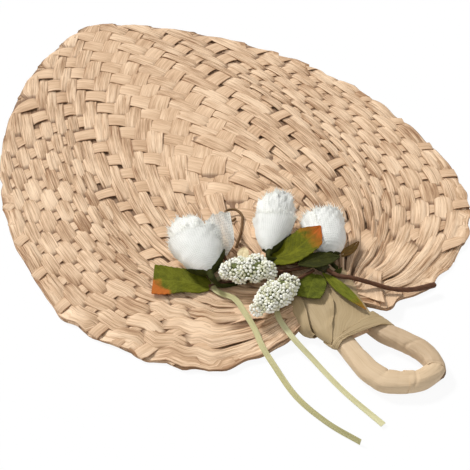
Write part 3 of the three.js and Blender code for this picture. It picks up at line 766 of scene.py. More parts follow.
def drawn_in(plan, bump, catch=0.0):
    """Plan points held inside the blade's outline. bump moves it, and catch draws a near point out to it."""
    x, y = plan[..., 0], plan[..., 1] - SHOULDER
    angle, radius = np.arctan2(np.abs(x), y), np.hypot(x, y)
    plain = np.interp(angle, OUTLINE_ANGLE, OUTLINE_RADIUS, right=1e3)
    swell = np.where(x < 0, SWELL_LEFT(angle), SWELL_RIGHT(angle))
    radius = radius + swell * np.clip(radius / plain, 0, 1) ** 3
    wave = EDGE_WAVE + (LOW_WAVE - EDGE_WAVE) * ease(angle, LOW_ANGLE, LOW_ANGLE_SPAN)
    limit = plain + swell + bump + wave * OUTLINE_WAVE(angle * np.where(x < 0, -1, 1))
    radius = radius + catch * np.where(limit - radius < EDGE_CATCH, np.maximum(0, limit - radius), 0)
    start = limit - EDGE_SOFT
    held = start + EDGE_SOFT * np.tanh(np.maximum(0, radius - start) / EDGE_SOFT)
    share = np.where(radius > start, held, radius) / np.maximum(np.hypot(x, y), 1e-6)
    return np.stack([x * share, y * share + SHOULDER], -1)


def stations(s, start, mirrored):
    """Numbers of the strips that a run passes below its start, with its level at each: 1 over, -1 under."""
    out = []
    for other in FAMILY:
        if other["number"] <= start or s["number"] <= other.get("from", -math.inf):
            continue
        a, b = (other["rank"], s["rank"]) if mirrored else (s["rank"], other["rank"])
        period = 2 if min(a, b) < 0 and max(a, b) >= PLAIN_RANK else 4
        first_over = (a - b) % period < period / 2
        level = 1.0 if first_over != mirrored else -1.0
        if min(a, b) == OUTER_RANK and max(a, b) >= FOLDED:
            level = -1.0 if s["rank"] == OUTER_RANK else 1.0
        out.append((other["number"], level))
    return sorted(out)


def level_along(q, met, low):
    """Level along a run. low tells how far a crossing is one where a long float ducks under a thin strip."""
    where, level = [], []
    for i, (number, value) in enumerate(met):
        before = number - met[i - 1][0] if i else 1.0
        after = met[i + 1][0] - number if i + 1 < len(met) else 1.0
        hold = HOLD + (HOLD_OVER if value > 0 else HOLD_UNDER) * low(number)
        where += [number - hold * before, number + hold * after]
        level += [value, value]
    return np.interp(q, where + [met[-1][0] + RUN_OUT], level + [0.0])


def resample(line, *extra):
    """A line in even steps, with the values along it at these."""
    far = lengths(line)
    want = np.linspace(0, far[-1], max(4, int(far[-1] / ROW_STEP)))
    columns = [np.interp(want, far, v) for v in (*line.T, *extra)]
    return np.stack(columns[:2], -1), columns[2:]


def rung_run(s, x_from, x_to):
    x = np.linspace(x_from, x_to, 160)
    y = rung_y(s["number"], x)
    space = PITCH * s["gap"] / np.sqrt(1 + np.gradient(y, x) ** 2)
    lower = ease(s["rank"], LOW_RANK, LOW_RANKS) * ease(x, LOW_X, LOW_X_SPAN)
    cap = STRIP_WIDTH + (LOW_RUNG_WIDTH - STRIP_WIDTH) * lower
    return resample(np.stack([x, y], -1), arc_number(x, y), np.minimum(RUNG_LAP * space, cap))


def arc_run(s, t_from, t_to):
    line = arc_point(s["number"], np.linspace(t_from, t_to, 400))
    x, y = line.T
    step = 0.05
    dx = (arc_number(x + step, y) - arc_number(np.maximum(x - step, 1e-3), y)) / (2 * step)
    dy = (arc_number(x, y + step) - arc_number(x, y - step)) / (2 * step)
    space = s["gap"] / np.maximum(np.hypot(dx, dy), 1e-3)
    return resample(line, rung_number(x, y), np.minimum(ARC_LAP * space, ARC_WIDTH))


class Run:
    """One stretch of a strip: plan points with the level, width, crown, tones and folds at each."""

    def __init__(self, line, q, width, soft, met, rank, rng):
        self.line = line
        far = lengths(line)
        near = 1 / np.maximum(0.25, np.sqrt(gather_share(*line.T)) / GATHER_BROAD) ** 2
        near = np.clip(near - 0.25, 0, 1)
        wobble, jitter, twist = ripple(rng, 0.02, 0.12), ripple(rng, 0.05, 0.25), ripple(rng, 0.08, 0.3)
        order = np.argsort(q)
        low = lambda number: ease(number, LENS_FROM, LENS_SPAN) * np.interp(number, q[order], soft[order])
        level = smooth(level_along(q, met, low), 1)
        # Low on the blade an arc swells where it is on top and is drawn in where it ducks under.
        lens = ease(q, LENS_FROM, LENS_SPAN) * soft
        self.width = width * (1 + 0.2 * near) * (1 + 0.05 * jitter(far)) * (1 + LENS_WIDTH * lens * level)
        squeezed = np.clip(1 - self.width / STRIP_WIDTH, 0, 1)
        self.crown = CROWN * (0.45 + 0.35 * soft) + 0.8 * squeezed * (0.6 + 0.4 * wobble(far))
        self.crown += LENS_CROWN * lens * (level > 0)
        drawn = soft * np.clip(0.35 + 1.4 * squeezed, 0, 1)
        # Painted shade where the strip ducks under a crossing strip, in place of its shadow; none on the two
        # outermost runs
        sunk_shade = np.clip((0.05 + 0.15 * soft - level) / (0.7 - 0.35 * soft), 0, 1) * (0.65 + 0.3 * soft)
        self.tone = np.stack([drawn, sunk_shade * (rank > OUTER_RANK + 1)], -1)
        self.level = level * LEVEL * (1 + LENS_LEVEL * lens)
        # At the neck the strips lie over each other in layers.
        layer = ((rank * 7) % 5 - 2) / 2
        self.level += near * 0.8 * layer + 0.5 * near * wobble(far) + 0.12 * soft * jitter(far * 0.5)
        self.tilt = 0.14 + 0.12 * jitter(far * 0.7) + 0.25 * soft * twist(far)
        self.height = blade_height(*line.T)
        self.bump = 0.2 + 0.3 * wobble(far + 90) - 0.9 * (soft < 0.5)
        # Lengthwise folds: almost flat on a rung, deep on a strip that is bent edgewise into an arc.
        count, drift, swell = rng.uniform(0.7, 1.2), ripple(rng, 0.01, 0.05), ripple(rng, 0.03, 0.1)
        depth = (0.03 + 0.28 * soft * (0.55 + 0.45 * swell(far)))[:, None]
        crease = lambda phase: 2 * np.abs(np.cos(math.pi * phase)) - 1.3
        self.folds = depth * crease(count * SHARES + 0.8 * drift(far)[:, None])
        self.folds += 0.4 * depth * crease(2.3 * count * SHARES - 0.6 * drift(far + 40)[:, None])


def sections(run, sheet_side, mirror, fold=None, at_start=False):
    """Rings of a run. fold is the fold's line, which the rows near it lean into."""
    line = run.line * (mirror, 1)
    along = unit(np.gradient(line, axis=0))
    across = np.stack([-along[:, 1], along[:, 0]], -1) * sheet_side
    side = SHARES * run.width[:, None] / 2
    shift = np.zeros_like(side)
    if fold is not None:
        row = 0 if at_start else -1
        lean = float(np.dot(fold, along[row]) / np.dot(fold, across[row]))
        lean = min(1.5, max(-1.5, lean))
        far = lengths(line)
        far = far if at_start else far[-1] - far
        reach = max(1.3, 1.2 * abs(lean)) * run.width[row]
        shift = side * lean * np.clip(1 - far / reach, 0, 1)[:, None]
    plan = line[:, None, :] + across[:, None, :] * side[..., None] + along[:, None, :] * shift[..., None]
    outward = np.sign(np.sum(across * (line - (0, SHOULDER)), axis=1))
    catch = np.clip(SHARES * outward[:, None], 0, 1) ** 2 if sheet_side < 0 else 0.0
    plan = drawn_in(plan, run.bump[:, None], catch)
    z = (run.height + run.level)[:, None] + run.crown[:, None] * (0.6 - SHARES ** 2)
    z = z + run.tilt[:, None] * SHARES * sheet_side * mirror + run.folds
    faces = []
    for way in (sheet_side, -sheet_side):
        lowest = UPPER_FLOOR if way > 0 else LOWER_FLOOR
        faces.append(np.dstack([plan, np.maximum(z + way * STRIP_THICK / 2, lowest)]))
    return np.concatenate([faces[0], faces[1][:, ::-1]], 1), across


def hook(main, mirror):
    """Rows that bring the end of a tucked strip over the blade's edge and back under it."""
    p, way = main.line[0] * (mirror, 1), unit((main.line[0] - main.line[1]) * (mirror, 1))
    across = np.array([way[1], -way[0]])
    middle, half = float(main.height[0]) - 0.2, LEVEL + 0.35
    rows = []
    for out, up, turn in HOOK_ROWS:
        side = SHARES * main.width[0] / 2 * (0.85 if up < 0 else 1.0)
        plan = drawn_in(p + way * out + side[:, None] * across, 0.3)
        points = np.column_stack([plan, middle + up * half - 0.15 * up * SHARES ** 2])
        quarter = turn * math.pi / 2
        through = np.array([*(way * math.cos(quarter)), -math.sin(quarter)]) * STRIP_THICK / 2
        ring = np.concatenate([points + through, (points - through)[::-1]])
        ring[:, 2] = np.maximum(ring[:, 2], HOOK_FLOOR)
        rows.append(ring)
    return np.array(rows)


def folded_rings(s, main, mirrored, over, rng):
    """Rings of a strip that turns back at the edge: from the neck, round the fold and along its rung."""
    mirror = -1 if mirrored else 1
    b, number = s["back"], s["number"]
    line, (q, width) = arc_run(b, arc_angle(s, number), gather_angle(b["number"]))
    met = stations(b, number, not mirrored)
    back = Run(line[::-1], q[::-1], smooth(width, 4)[::-1], np.ones(len(line)), met, b["rank"], rng)
    sign = 1 if over else -1
    main.level[0], back.level[-1] = sign * 0.5 * LEVEL, -sign * 0.5 * LEVEL
    main.level[:3] = smooth(main.level[:4], 1)[:3]
    back.level[-3:] = smooth(back.level[-4:], 1)[-3:]
    width = FOLD_SQUEEZE * (main.width[0] + back.width[-1]) / 2
    back_far = lengths(back.line)
    main_end = (main, lengths(main.line), slice(FOLD_ROWS))
    back_end = (back, back_far[-1] - back_far, slice(-FOLD_ROWS, None))
    for run, far, rows in (main_end, back_end):
        run.width = width + (run.width - width) * ease(far, 0, FOLD_REACH) ** 0.8
        run.crown[rows] *= FOLD_FLAT
        # Less painted shade on the rows next to the fold
        run.tone[rows, 1] *= FOLD_PAINTED_SHADE
    fold = unit(unit(back.line[-1] - back.line[-2]) + unit(main.line[1] - main.line[0])) * (mirror, 1)
    inward, _ = sections(back, -1, mirror, fold)
    onward, across = sections(main, 1, mirror, fold, True)
    edge = main.line[0] * (mirror, 1)
    outward = unit(edge - (0, SHOULDER))
    spread = np.sign(np.dot(fold, across[0])) / max(0.55, abs(np.dot(fold, across[0])))
    side = SHARES * width / 2 * spread
    plan = drawn_in(edge + fold * side[:, None] + outward * EDGE_BULGE, 0.5)
    z = np.full(COLUMNS, float(main.height[0] + (main.level[0] + back.level[-1]) / 2))
    faces = [np.column_stack([plan + way * sign * outward * STRIP_THICK / 2, z]) for way in (1, -1)]
    ring = np.concatenate([faces[0], faces[1][::-1]])[None]
    far = lengths(np.concatenate([back.line, main.line[:1], main.line]))
    # The fold's own ring takes a little painted shade
    return np.concatenate([inward, ring, onward]), far, np.concatenate([back.tone, [(0.5, 0.1)], main.tone])


def strip_shape(shape, s, mirrored, seed):
    """A whole strip: back from the neck to the edge, over the fold, along its rung and down its arc."""
    rng = np.random.default_rng(seed)
    mirror = -1 if mirrored else 1
    number = s["number"]
    met = stations(s, s["end"], mirrored)
    x_in = 0.0
    if gather_share(0.0, rung_y(number, 0.0)) < 1:
        x_in = bisect(lambda v: gather_share(v, rung_y(number, v)) < RUNG_END, 0.0, NECK_HALF)
    line, (q, width) = rung_run(s, s["edge"], x_in)
    soft = np.zeros(len(line))
    if x_in == 0.0:
        arc, (arc_q, arc_width) = arc_run(s, 0.0, gather_angle(number))
        line = np.concatenate([line, (arc * (-1, 1))[1:]])
        q, width = np.concatenate([q, arc_q[1:]]), np.concatenate([smooth(width, 2), arc_width[1:]])
        soft = smooth(np.concatenate([soft, np.ones(len(arc) - 1)]), 12)
    main = Run(line, q, smooth(width, 6), soft, met, s["rank"], rng)
    if "back" in s:
        rings, far, tone = folded_rings(s, main, mirrored, met[0][1] > 0, rng)
    else:
        main.level[:2] = LEVEL
        # Less painted shade on the rows at the hook
        main.tone[:FOLD_ROWS, 1] *= FOLD_PAINTED_SHADE
        rings, _ = sections(main, 1, mirror)
        rings = np.concatenate([hook(main, mirror), rings[1:]])
        far = np.concatenate([HOOK_PLACES, lengths(main.line)[1:]])
        # The hook's rows take a little painted shade
        tone = np.concatenate([np.tile((0.0, 0.1), (len(HOOK_PLACES), 1)), main.tone[1:]])
    offset = 37.0 * rng.random()
    v = np.linspace(-0.43, 0.43, COLUMNS)
    shape.loft(rings, far / 10 + offset, np.concatenate([v, v[::-1]]) + rng.integers(0, 12), tone)


def build_strips():
    for mirrored in (False, True):
        side = "left" if mirrored else "right"
        for s in STRIP_LIST[:STRIPS]:
            shape = Shape()
            strip_shape(shape, s, mirrored, 100 * mirrored + s["rank"])
            node = f"strip_{side}_{s['rank'] + 1:02d}"
            shape.piece(f"palm_{node}", PALM, "palm_leaf", node)


build_strips()


# Neck and handle
NECK_TOP, SQUARENESS = 27.0, 2.7
BUNDLE_END, BUNDLE_ROUND, BUNDLE_INSET, BUNDLE_THIN = -13.0, 4.0, 1.4, 1.3
LEAF_THICK, LOWEST_LEAF, LEAF_COLUMNS = 0.5, 0.35, 64
NECK_Y = (-18, -15, -8, -2.4, 6, 14, 27)
neck_middle = curve(NECK_Y, (1.2, 0.8, -1.0, -2.6, -2.6, -1.4, 0.0))
neck_across = curve(NECK_Y, (15.8, 15.4, 14.9, 15.2, 16.2, 17.4, 18.5))


def powered(v, power):
    return np.sign(v) * np.abs(v) ** power


def oval_point(angle, across, through):
    """Point of a rounded oval, angle 0 at +x and a quarter turn at the top."""
    return across * powered(np.cos(angle), 2 / SQUARENESS), through * powered(np.sin(angle), 2 / SQUARENESS)


def neck_point(angle, y, lift):
    x, z = oval_point(angle, neck_across(y) + lift, MIDDLE_Z - 0.7 + np.minimum(lift, 2.2))
    return np.stack([x + neck_middle(y), y + 0 * x, MIDDLE_Z + z], -1)


def wrapped(angle, y, lift):
    """Points of a wrap. Its under side ends higher than its top: the neck is open between the legs."""
    drawn_up = np.interp(np.sin(angle), [-1, -0.3, 0.1], [8, 6, 0]) * np.clip((1 - y) / 10, 0, 1)
    points = neck_point(angle, y + drawn_up, lift)
    points[:, 2] = np.maximum(points[:, 2], LOWEST_LEAF)
    return points


def gathered_ends():
    """Ends of the strips drawn together under the wraps, with the low strips that start from them."""
    shape = Shape()
    angle = turns(96)
    ridge = np.abs(np.sin(11 * angle + 0.6 * np.sin(3 * angle)))
    rings = []
    below = np.linspace(BUNDLE_END + 0.05, NECK_TOP, 22)
    rows = np.concatenate([below, NECK_TOP + GATHER_REACH * np.linspace(0.04, 0.99, 22)])
    for y in rows:
        up = max(0.0, y - GATHER) / GATHER_REACH
        end = math.sqrt(min(1.0, (y - BUNDLE_END) / BUNDLE_ROUND))
        across = float(neck_across(y)) * math.sqrt(max(0.004, 1 - up * up)) - BUNDLE_INSET
        through = (MIDDLE_Z - BUNDLE_THIN) * (1 - up) + BUNDLE_THIN * up
        across, through = max(0.6, across * (0.8 + 0.2 * end)), through * end
        x, z = oval_point(angle, across, min(through, across))
        swell = 1 + 0.10 * (ridge - 0.5) * (0.5 + up)
        rings.append(np.stack([x * swell + neck_middle(y), np.full_like(x, y), MIDDLE_Z + z * swell], -1))
    shape.loft(rings, rows / 10, 0.5 * np.abs(angle - math.pi))
    for mirrored in (False, True):
        for s in STRIP_LIST[STRIPS:]:
            strip_shape(shape, s, mirrored, 300 + 100 * mirrored + s["rank"])
    shape.piece("palm_bundle", PALM, "palm_bundle", "neck_core")


def neck_sheet(shape, y_rows, first, last, lift, seed):
    """A leaf wrapped round the neck. first and last give its side edges as angles at each height."""
    rng = np.random.default_rng(seed)
    fold, crease = ripple(rng, 2.0, 5.0), ripple(rng, 0.12, 0.4)
    share = np.linspace(0, 1, LEAF_COLUMNS)
    grid = []
    for y in y_rows:
        angle = np.linspace(first(y), last(y), LEAF_COLUMNS)
        raised = lift(y, share) + 0.22 * fold(angle + 0.02 * y) + 0.12 * crease(y + 4 * angle)
        grid.append(wrapped(angle, y, raised))
    along = np.linspace(0, (y_rows[-1] - y_rows[0]) / 10, len(y_rows))
    shape.sheet(np.array(grid), LEAF_THICK, along, np.linspace(0, 8.5, LEAF_COLUMNS))


def on_top(x_of_y):
    """Angle on the neck's top face of a line across it."""
    def angle(y):
        share = np.clip((x_of_y(y) - neck_middle(y)) / neck_across(y), -0.999, 0.999)
        return float(np.arccos(powered(share, SQUARENESS / 2)))
    return angle


def upper_wrap():
    """Two leaves lapped over the neck and a third flaring out on its left."""
    seam = on_top(curve((-14.2, -3.8, 4, 10.2, 14, 27), (-16.6, -10.2, -4.6, -1.4, -0.5, 0.5)))
    gape = curve((-14, -6, -3, 1, 5, 9, 12, 27), (0.2, 0.3, 1.2, 0.3, 1.5, 1.3, 0.4, 0.2))
    left = on_top(curve((-3, 2, 6, 11, 16, 27), (-18.5, -18.0, -16.8, -14.8, -13.5, -12.5)))
    flare = curve((-2, 3, 8, 15, 27), (2.0, 4.6, 4.2, 2.2, 0.4))
    rows, left_rows = np.linspace(-13.5, 28.0, 60), np.linspace(-2.0, 27.5, 40)
    lip = lambda t, breadth: np.exp(-(t / breadth) ** 2)
    belly = lambda t: np.sin(math.pi * np.clip(1.3 * t, 0, 1))
    shape = Shape()
    neck_sheet(shape, rows, lambda y: -2.2, lambda y: seam(y) + 0.35, lambda y, t: 0.15 + 0 * t, 21)
    neck_sheet(shape, rows, seam, lambda y: 5.6, lambda y, t: 0.55 + gape(y) * lip(t, 0.07), 22)
    neck_sheet(shape, left_rows, left, lambda y: 5.2,
               lambda y, t: 1.4 + 0.8 * lip(t, 0.08) + flare(y) * belly(t), 23)
    shape.piece("neck_leaf_upper", PALM_GREY, "palm_leaf", "neck_wrap_upper")


def lower_wrap():
    """The band that holds the loop to the neck."""
    columns, rows = 110, 20
    rng = np.random.default_rng(31)
    fold, crease = ripple(rng, 2.0, 6.0), ripple(rng, 3.0, 9.0)
    angle = np.linspace(-0.75, 2 * math.pi - 0.35, columns)
    x = np.cos(angle)
    high = np.interp(x, [-1, -0.75, -0.45, -0.1, 0.45, 1], [-12.4, -10.9, -10.5, -9.6, -6.4, -4.2])
    low = np.interp(x, [-1, -0.7, -0.45, 0, 0.5, 1], [-16.4, -14.6, -14.2, -14.8, -15.8, -17.2])
    grid = []
    for t in np.linspace(0, 1, rows):
        raised = 1.05 + 0.18 * fold(angle + 0.5 * t) + 0.2 * crease(1.5 * angle + 5 * t)
        grid.append(wrapped(angle, high + (low - high) * t, raised + 0.25 * math.sin(math.pi * t)))
    grid = np.array(grid).transpose(1, 0, 2)
    shape = Shape()
    shape.sheet(grid, LEAF_THICK, np.linspace(0, 8.5, columns), np.linspace(0, 1.1, rows))
    shape.piece("neck_leaf_lower", PALM_GREY, "palm_leaf", "neck_wrap_lower")


STRAP_HALF, STRAP_Z, STRAP_SIDES, STRAP_FLOOR, STRAP_END = 3.7, 4.6, 64, 0.15, 0.03
# Middle line of the loop and its half width, from the left leg round to the right one
LOOP = [
    (-9.0, -8, 5.3), (-9.6, -20, 5.2), (-9.2, -34, 5.8), (-6.0, -43.6, 6.2), (3.2, -49.6, 5.6),
    (9.4, -51.9, 4.8), (19.8, -50.4, 4.5), (21.8, -43.8, 4.3), (21.3, -36.3, 5.0), (17.1, -27.2, 4.8),
    (12.0, -18, 4.9), (9.8, -8, 5.2),
]
CORNER_PASSES, LOOP_ROWS = 26, 260
# Where the strap is creased: share of its length, depth, breadth, slant and the side that it is deepest on
CREASES = [
    (0.115, 0.04, 0.010, 0.020, 0.5), (0.305, 0.09, 0.014, 0.016, 0.0), (0.385, 0.04, 0.012, 0.012, 0.4),
    (0.455, 0.08, 0.007, 0.022, 1.4), (0.54, 0.05, 0.012, -0.014, 0.2), (0.60, 0.10, 0.010, 0.016, 0.1),
    (0.735, 0.10, 0.009, 0.050, 1.4), (0.86, 0.03, 0.012, -0.030, 0.6),
]
# First and last share of each leaf along the loop, how far it stands out and how dark it is
STRAP_SPANS = {
    "left": (0.0, 0.47, 0.0, 0.04), "end": (0.42, 0.625, 0.4, 0.03), "right": (0.585, 1.0, 0.75, 0.27),
}
# The bundle inside, in painted shadow: where it shows and over which share of the loop, and its radius there
# and elsewhere
BUNDLE_AT, BUNDLE_SPAN, BUNDLE_SHOWN, BUNDLE_RADIUS = 0.595, 0.04, 1.4, 2.4


def loop_frame():
    line = even(np.array(LOOP, float), LOOP_ROWS)
    line = np.stack([smooth(column, CORNER_PASSES) for column in line.T], -1)
    middle = np.column_stack([line[:, :2], np.full(LOOP_ROWS, STRAP_Z)])
    along, across, _ = ways(middle)
    return middle, along, across, line[:, 2]


def strap_rings(start, stop, lift, seed):
    """Rings of one leaf folded round the strand, flat with soft edges, creased where the strand bends."""
    middle, along, across, half = loop_frame()
    rng = np.random.default_rng(seed)
    edge, ridge = ripple(rng, 1.0, 3.0), ripple(rng, 2.0, 5.0, 5)
    angle = turns(STRAP_SIDES)
    rows = np.arange(int(start * (LOOP_ROWS - 1)), int(stop * (LOOP_ROWS - 1)) + 1)
    rings = []
    for i in rows:
        share = i / (LOOP_ROWS - 1)
        swell = 1 + 0.035 * edge(2 * angle + 5 * share) + 0.02 * ridge(3 * angle - 14 * share)
        for at, depth, breadth, slant, side in CREASES:
            near = (share - at - slant * np.cos(angle - 0.6)) / breadth
            swell = swell - depth * np.exp(-near ** 2) * (0.6 + 0.4 * np.cos(angle - side))
        end = min(1.0, min(share - start, stop - share) / STRAP_END)
        width, thick = half[i] + lift * 0.5, STRAP_HALF + lift * 0.5 - 0.12 * (1 - end)
        x = width * powered(np.cos(angle), 0.62) * swell
        z = thick * powered(np.sin(angle), 0.7) * swell
        lean = 1.8 * np.cos(angle + 0.9) * (1 - end) * (1 if share - start > stop - share else -1)
        ring = middle[i] + np.outer(x, across[i]) + np.outer(lean, along[i])
        ring[:, 2] = np.maximum(ring[:, 2] + z, STRAP_FLOOR)
        rings.append(ring)
    return np.array(rings), rows * (lengths(middle)[-1] / LOOP_ROWS / 10), 0.9 * np.abs(angle - math.pi)


def tube(shape, line, radius, sides, spiral, seed):
    """A round stem along a line. spiral is the step of its wound tape."""
    line = np.asarray(line, float)
    _, across, up = ways(line)
    angle = turns(sides)
    far = lengths(line)
    radius = np.broadcast_to(np.asarray(radius, float), (len(line),))
    bumpy = ripple(np.random.default_rng(seed), 0.3, 1.2, 5)
    rings = []
    for i in range(len(line)):
        r = radius[i] * (1 + 0.05 * bumpy(far[i]))
        r = r + spiral * ((far[i] / 2.4 - angle / (2 * math.pi)) % 1.0)
        rings.append(line[i] + np.outer(r * np.cos(angle), across[i]) + np.outer(r * np.sin(angle), up[i]))
    shape.loft(rings, far / 10, np.abs(angle - math.pi) / math.pi)


def loop_bundle():
    """Leaf ends inside the wraps, which show as an edge at the far end of the loop, dark brown as painted
    shadow in the gap.
    """
    middle, _, across, half = loop_frame()
    out = np.exp(-((np.linspace(0, 1, LOOP_ROWS) - BUNDLE_AT) / BUNDLE_SPAN) ** 4)
    line = middle - across * (out * (half - 0.6))[:, None]
    line[:, 2] -= 0.6 * out
    radius = BUNDLE_RADIUS + (BUNDLE_SHOWN - BUNDLE_RADIUS) * out
    shape = Shape()
    tube(shape, line[4:-4:2], radius[4:-4:2], 14, 0.0, 66)
    shape.piece("loop_bundle", PALM_SHADE, "palm_bundle", "loop_core")


def loop_wraps():
    """Three lengths of leaf folded round the strand, each lapped over the one before."""
    for k, (side, (start, stop, lift, dark)) in enumerate(STRAP_SPANS.items()):
        shape = Shape()
        shape.loft(*strap_rings(start, stop, lift, 60 + k), ((0.0, dark),))
        shape.piece(f"loop_leaf_{side}", PALM_SMOOTH, "palm_leaf", f"loop_wrap_{side}")


gathered_ends()
upper_wrap()
lower_wrap()
loop_bundle()
loop_wraps()


# Spray
SPRAY_LIFT = 1.5  # the plaited blade stands this much over its plain solid
SOLID_TOP, FIT = 0.7, 0.3  # top of the plain blade over its middle, and the space left above it


def blade_top(x, y):
    return float(blade_height(x, y, SOLID_TOP))


def ground(x, y):
    """Top of the plain neck or blade under a point of the spray."""
    if gather_share(x, y) > 1:
        return blade_top(x, y)
    up = max(0.0, y - GATHER) / GATHER_REACH
    across = NECK_HALF * math.sqrt(max(0.0, 1 - up * up))
    through = MIDDLE_Z + (1.0 - MIDDLE_Z) * math.sin(math.pi / 2 * min(1.0, up))
    past = max(0.0, abs(x) - across + through)
    return MIDDLE_Z + math.sqrt(max(0.0, through * through - past * past))


def above(x, y, lift):
    return (x, y, ground(x, y) + FIT + lift)


def over(*spots):
    """A route over the neck and blade, from places with their lifts."""
    return [above(*spot) for spot in spots]


# Half width of a bud along its axis, as shares of its length and of its largest half width
BUD_SHARES = (-0.1, 0, 0.06, 0.15, 0.3, 0.5, 0.7, 0.85, 1.05)
CUP = (0.1, 0.16, 0.40, 0.60, 0.80, 0.93, 1.0, 1.0, 0.97)
BARREL = (0.1, 0.2, 0.54, 0.78, 0.93, 1.0, 1.0, 0.98, 0.94)


class Bud:
    """Place of a rosebud: its base, its axis, the way across to the left and the way up."""

    def __init__(self, base, heading, tilt, length, radius, squash, outline):
        self.base, self.length, self.radius, self.squash = np.array(base, float), length, radius, squash
        self.outline = outline
        flat = unit(heading)
        self.flat = np.array([*flat, 0.0])
        self.along = np.array([*(flat * math.cos(tilt)), math.sin(tilt)])
        self.across = unit(np.cross((0, 0, 1), self.along))
        self.up = np.cross(self.along, self.across)

    def half(self, share):
        return self.radius * np.interp(share, BUD_SHARES, self.outline)

    def point(self, share, turn, out):
        """Points at shares of the length, turned round the axis from its left side over the top."""
        r = self.half(share) * out
        flat = np.multiply.outer(r * np.cos(turn), self.across)
        raised = np.multiply.outer(r * np.sin(turn) * self.squash, self.up)
        return self.base + np.multiply.outer(share * self.length, self.along) + flat + raised


BUDS = {
    "left": Bud((-47.4, 57.2, blade_top(-44, 76) + 11.0), (0.20, 0.98), 0.0, 35, 13.0, 0.84, CUP),
    "middle": Bud((-14.4, 51.9, blade_top(-1, 68) + 10.4), (0.60, 0.80), 0.03, 38, 10.4, 0.92, CUP),
    "right": Bud((13.1, 36.3, blade_top(23, 48) + 9.4), (0.38, 0.925), 0.02, 25.5, 10.2, 0.86, BARREL),
}
# Petals of each bud: middle turn, span, rim from left to right in shares of the length, half width, flare
# and crumple
PETALS = {
    "left": [
        (1.6, 6.3, (0.74, 0.74), 0.45, -0.1, 0.0), (-1.4, 3.4, (0.86, 0.94, 0.9), 0.96, 0.04, 0.02),
        (0.75, 2.7, (0.92, 1.02, 1.02, 0.96, 0.9), 0.84, 0.12, 0.03),
        (2.3, 2.7, (0.84, 0.78, 0.76, 0.72), 0.86, 0.05, 0.03),
        (1.25, 3.7, (0.66, 0.74, 0.66, 0.62, 0.72, 0.82), 1.03, 0.12, 0.01),
    ],
    "middle": [
        (1.6, 6.3, (0.86, 0.86), 0.42, -0.1, 0.05), (-1.4, 3.6, (0.84, 0.9, 0.9), 0.92, 0.02, 0.03),
        (0.5, 2.8, (0.74, 0.86, 0.92, 0.95), 0.88, 0.06, 0.06),
        (2.6, 2.8, (0.98, 1.0, 0.94, 0.86), 0.88, 0.08, 0.06),
        (1.6, 2.6, (0.92, 0.98, 1.0, 0.98), 0.70, 0.04, 0.08),
        (1.5, 3.6, (0.62, 0.58, 0.50, 0.52, 0.62, 0.76), 1.0, 0.08, 0.0),
    ],
    "right": [
        (1.6, 6.3, (0.8, 0.8), 0.5, -0.05, 0.02), (-1.5, 3.4, (0.9, 0.94, 0.9), 0.94, 0.10, 0.02),
        (0.7, 2.5, (0.92, 1.0, 0.98, 0.96), 0.98, 0.14, 0.03),
        (2.5, 2.6, (1.0, 0.97, 1.0, 0.9), 1.04, 0.18, 0.03),
    ],
}
PETAL_ROWS, PETAL_COLUMNS, PETAL_THICK, PETAL_FLOOR = 30, 33, 0.3, 3.0
FRINGE, FUZZ = 130, {"left": 24, "middle": 90, "right": 60}
# Loose threads: radius, root inside the cloth, then the shortest and longest on a rim, a side, a face and
# the sheer petal
THREAD, ROOT = 0.24, 0.4
THIRDS = (0, 2.094, 4.189)  # turns of the three corners of a thread
RIM_THREADS, SIDE_THREADS, FACE_THREADS, SHEER_THREADS = (1.0, 4.0), (0.3, 1.2), (0.5, 1.8), (0.3, 1.4)


def threads(shape, starts, directions, rng, reach):
    """Loose thread ends that start on cloth and stand off it."""
    for start, way, far in zip(starts, directions, rng.uniform(*reach, len(starts))):
        side = unit(np.cross(way, (0.3, 0.2, 1.0)))
        other = np.cross(way, side)
        foot = start - way * ROOT
        ring = [foot + THREAD * (side * math.cos(t) + other * math.sin(t)) for t in THIRDS]
        shape.add([*ring, start + way * far], [[0, 1, 3], [1, 2, 3], [2, 0, 3], [2, 1, 0]], [[0.5, 0.5]] * 4)


def frayed(shape, edge, inner, rng, count, reach):
    """Loose threads along a cloth edge, standing away from a line inside it."""
    out = unit(edge - inner)
    i = rng.uniform(0, len(edge) - 1.001, count)
    k = i.astype(int)
    f = (i - k)[:, None]
    starts = edge[k] * (1 - f) + edge[k + 1] * f
    threads(shape, starts, unit(out[k] + rng.normal(0, 0.35, (count, 3))), rng, reach)


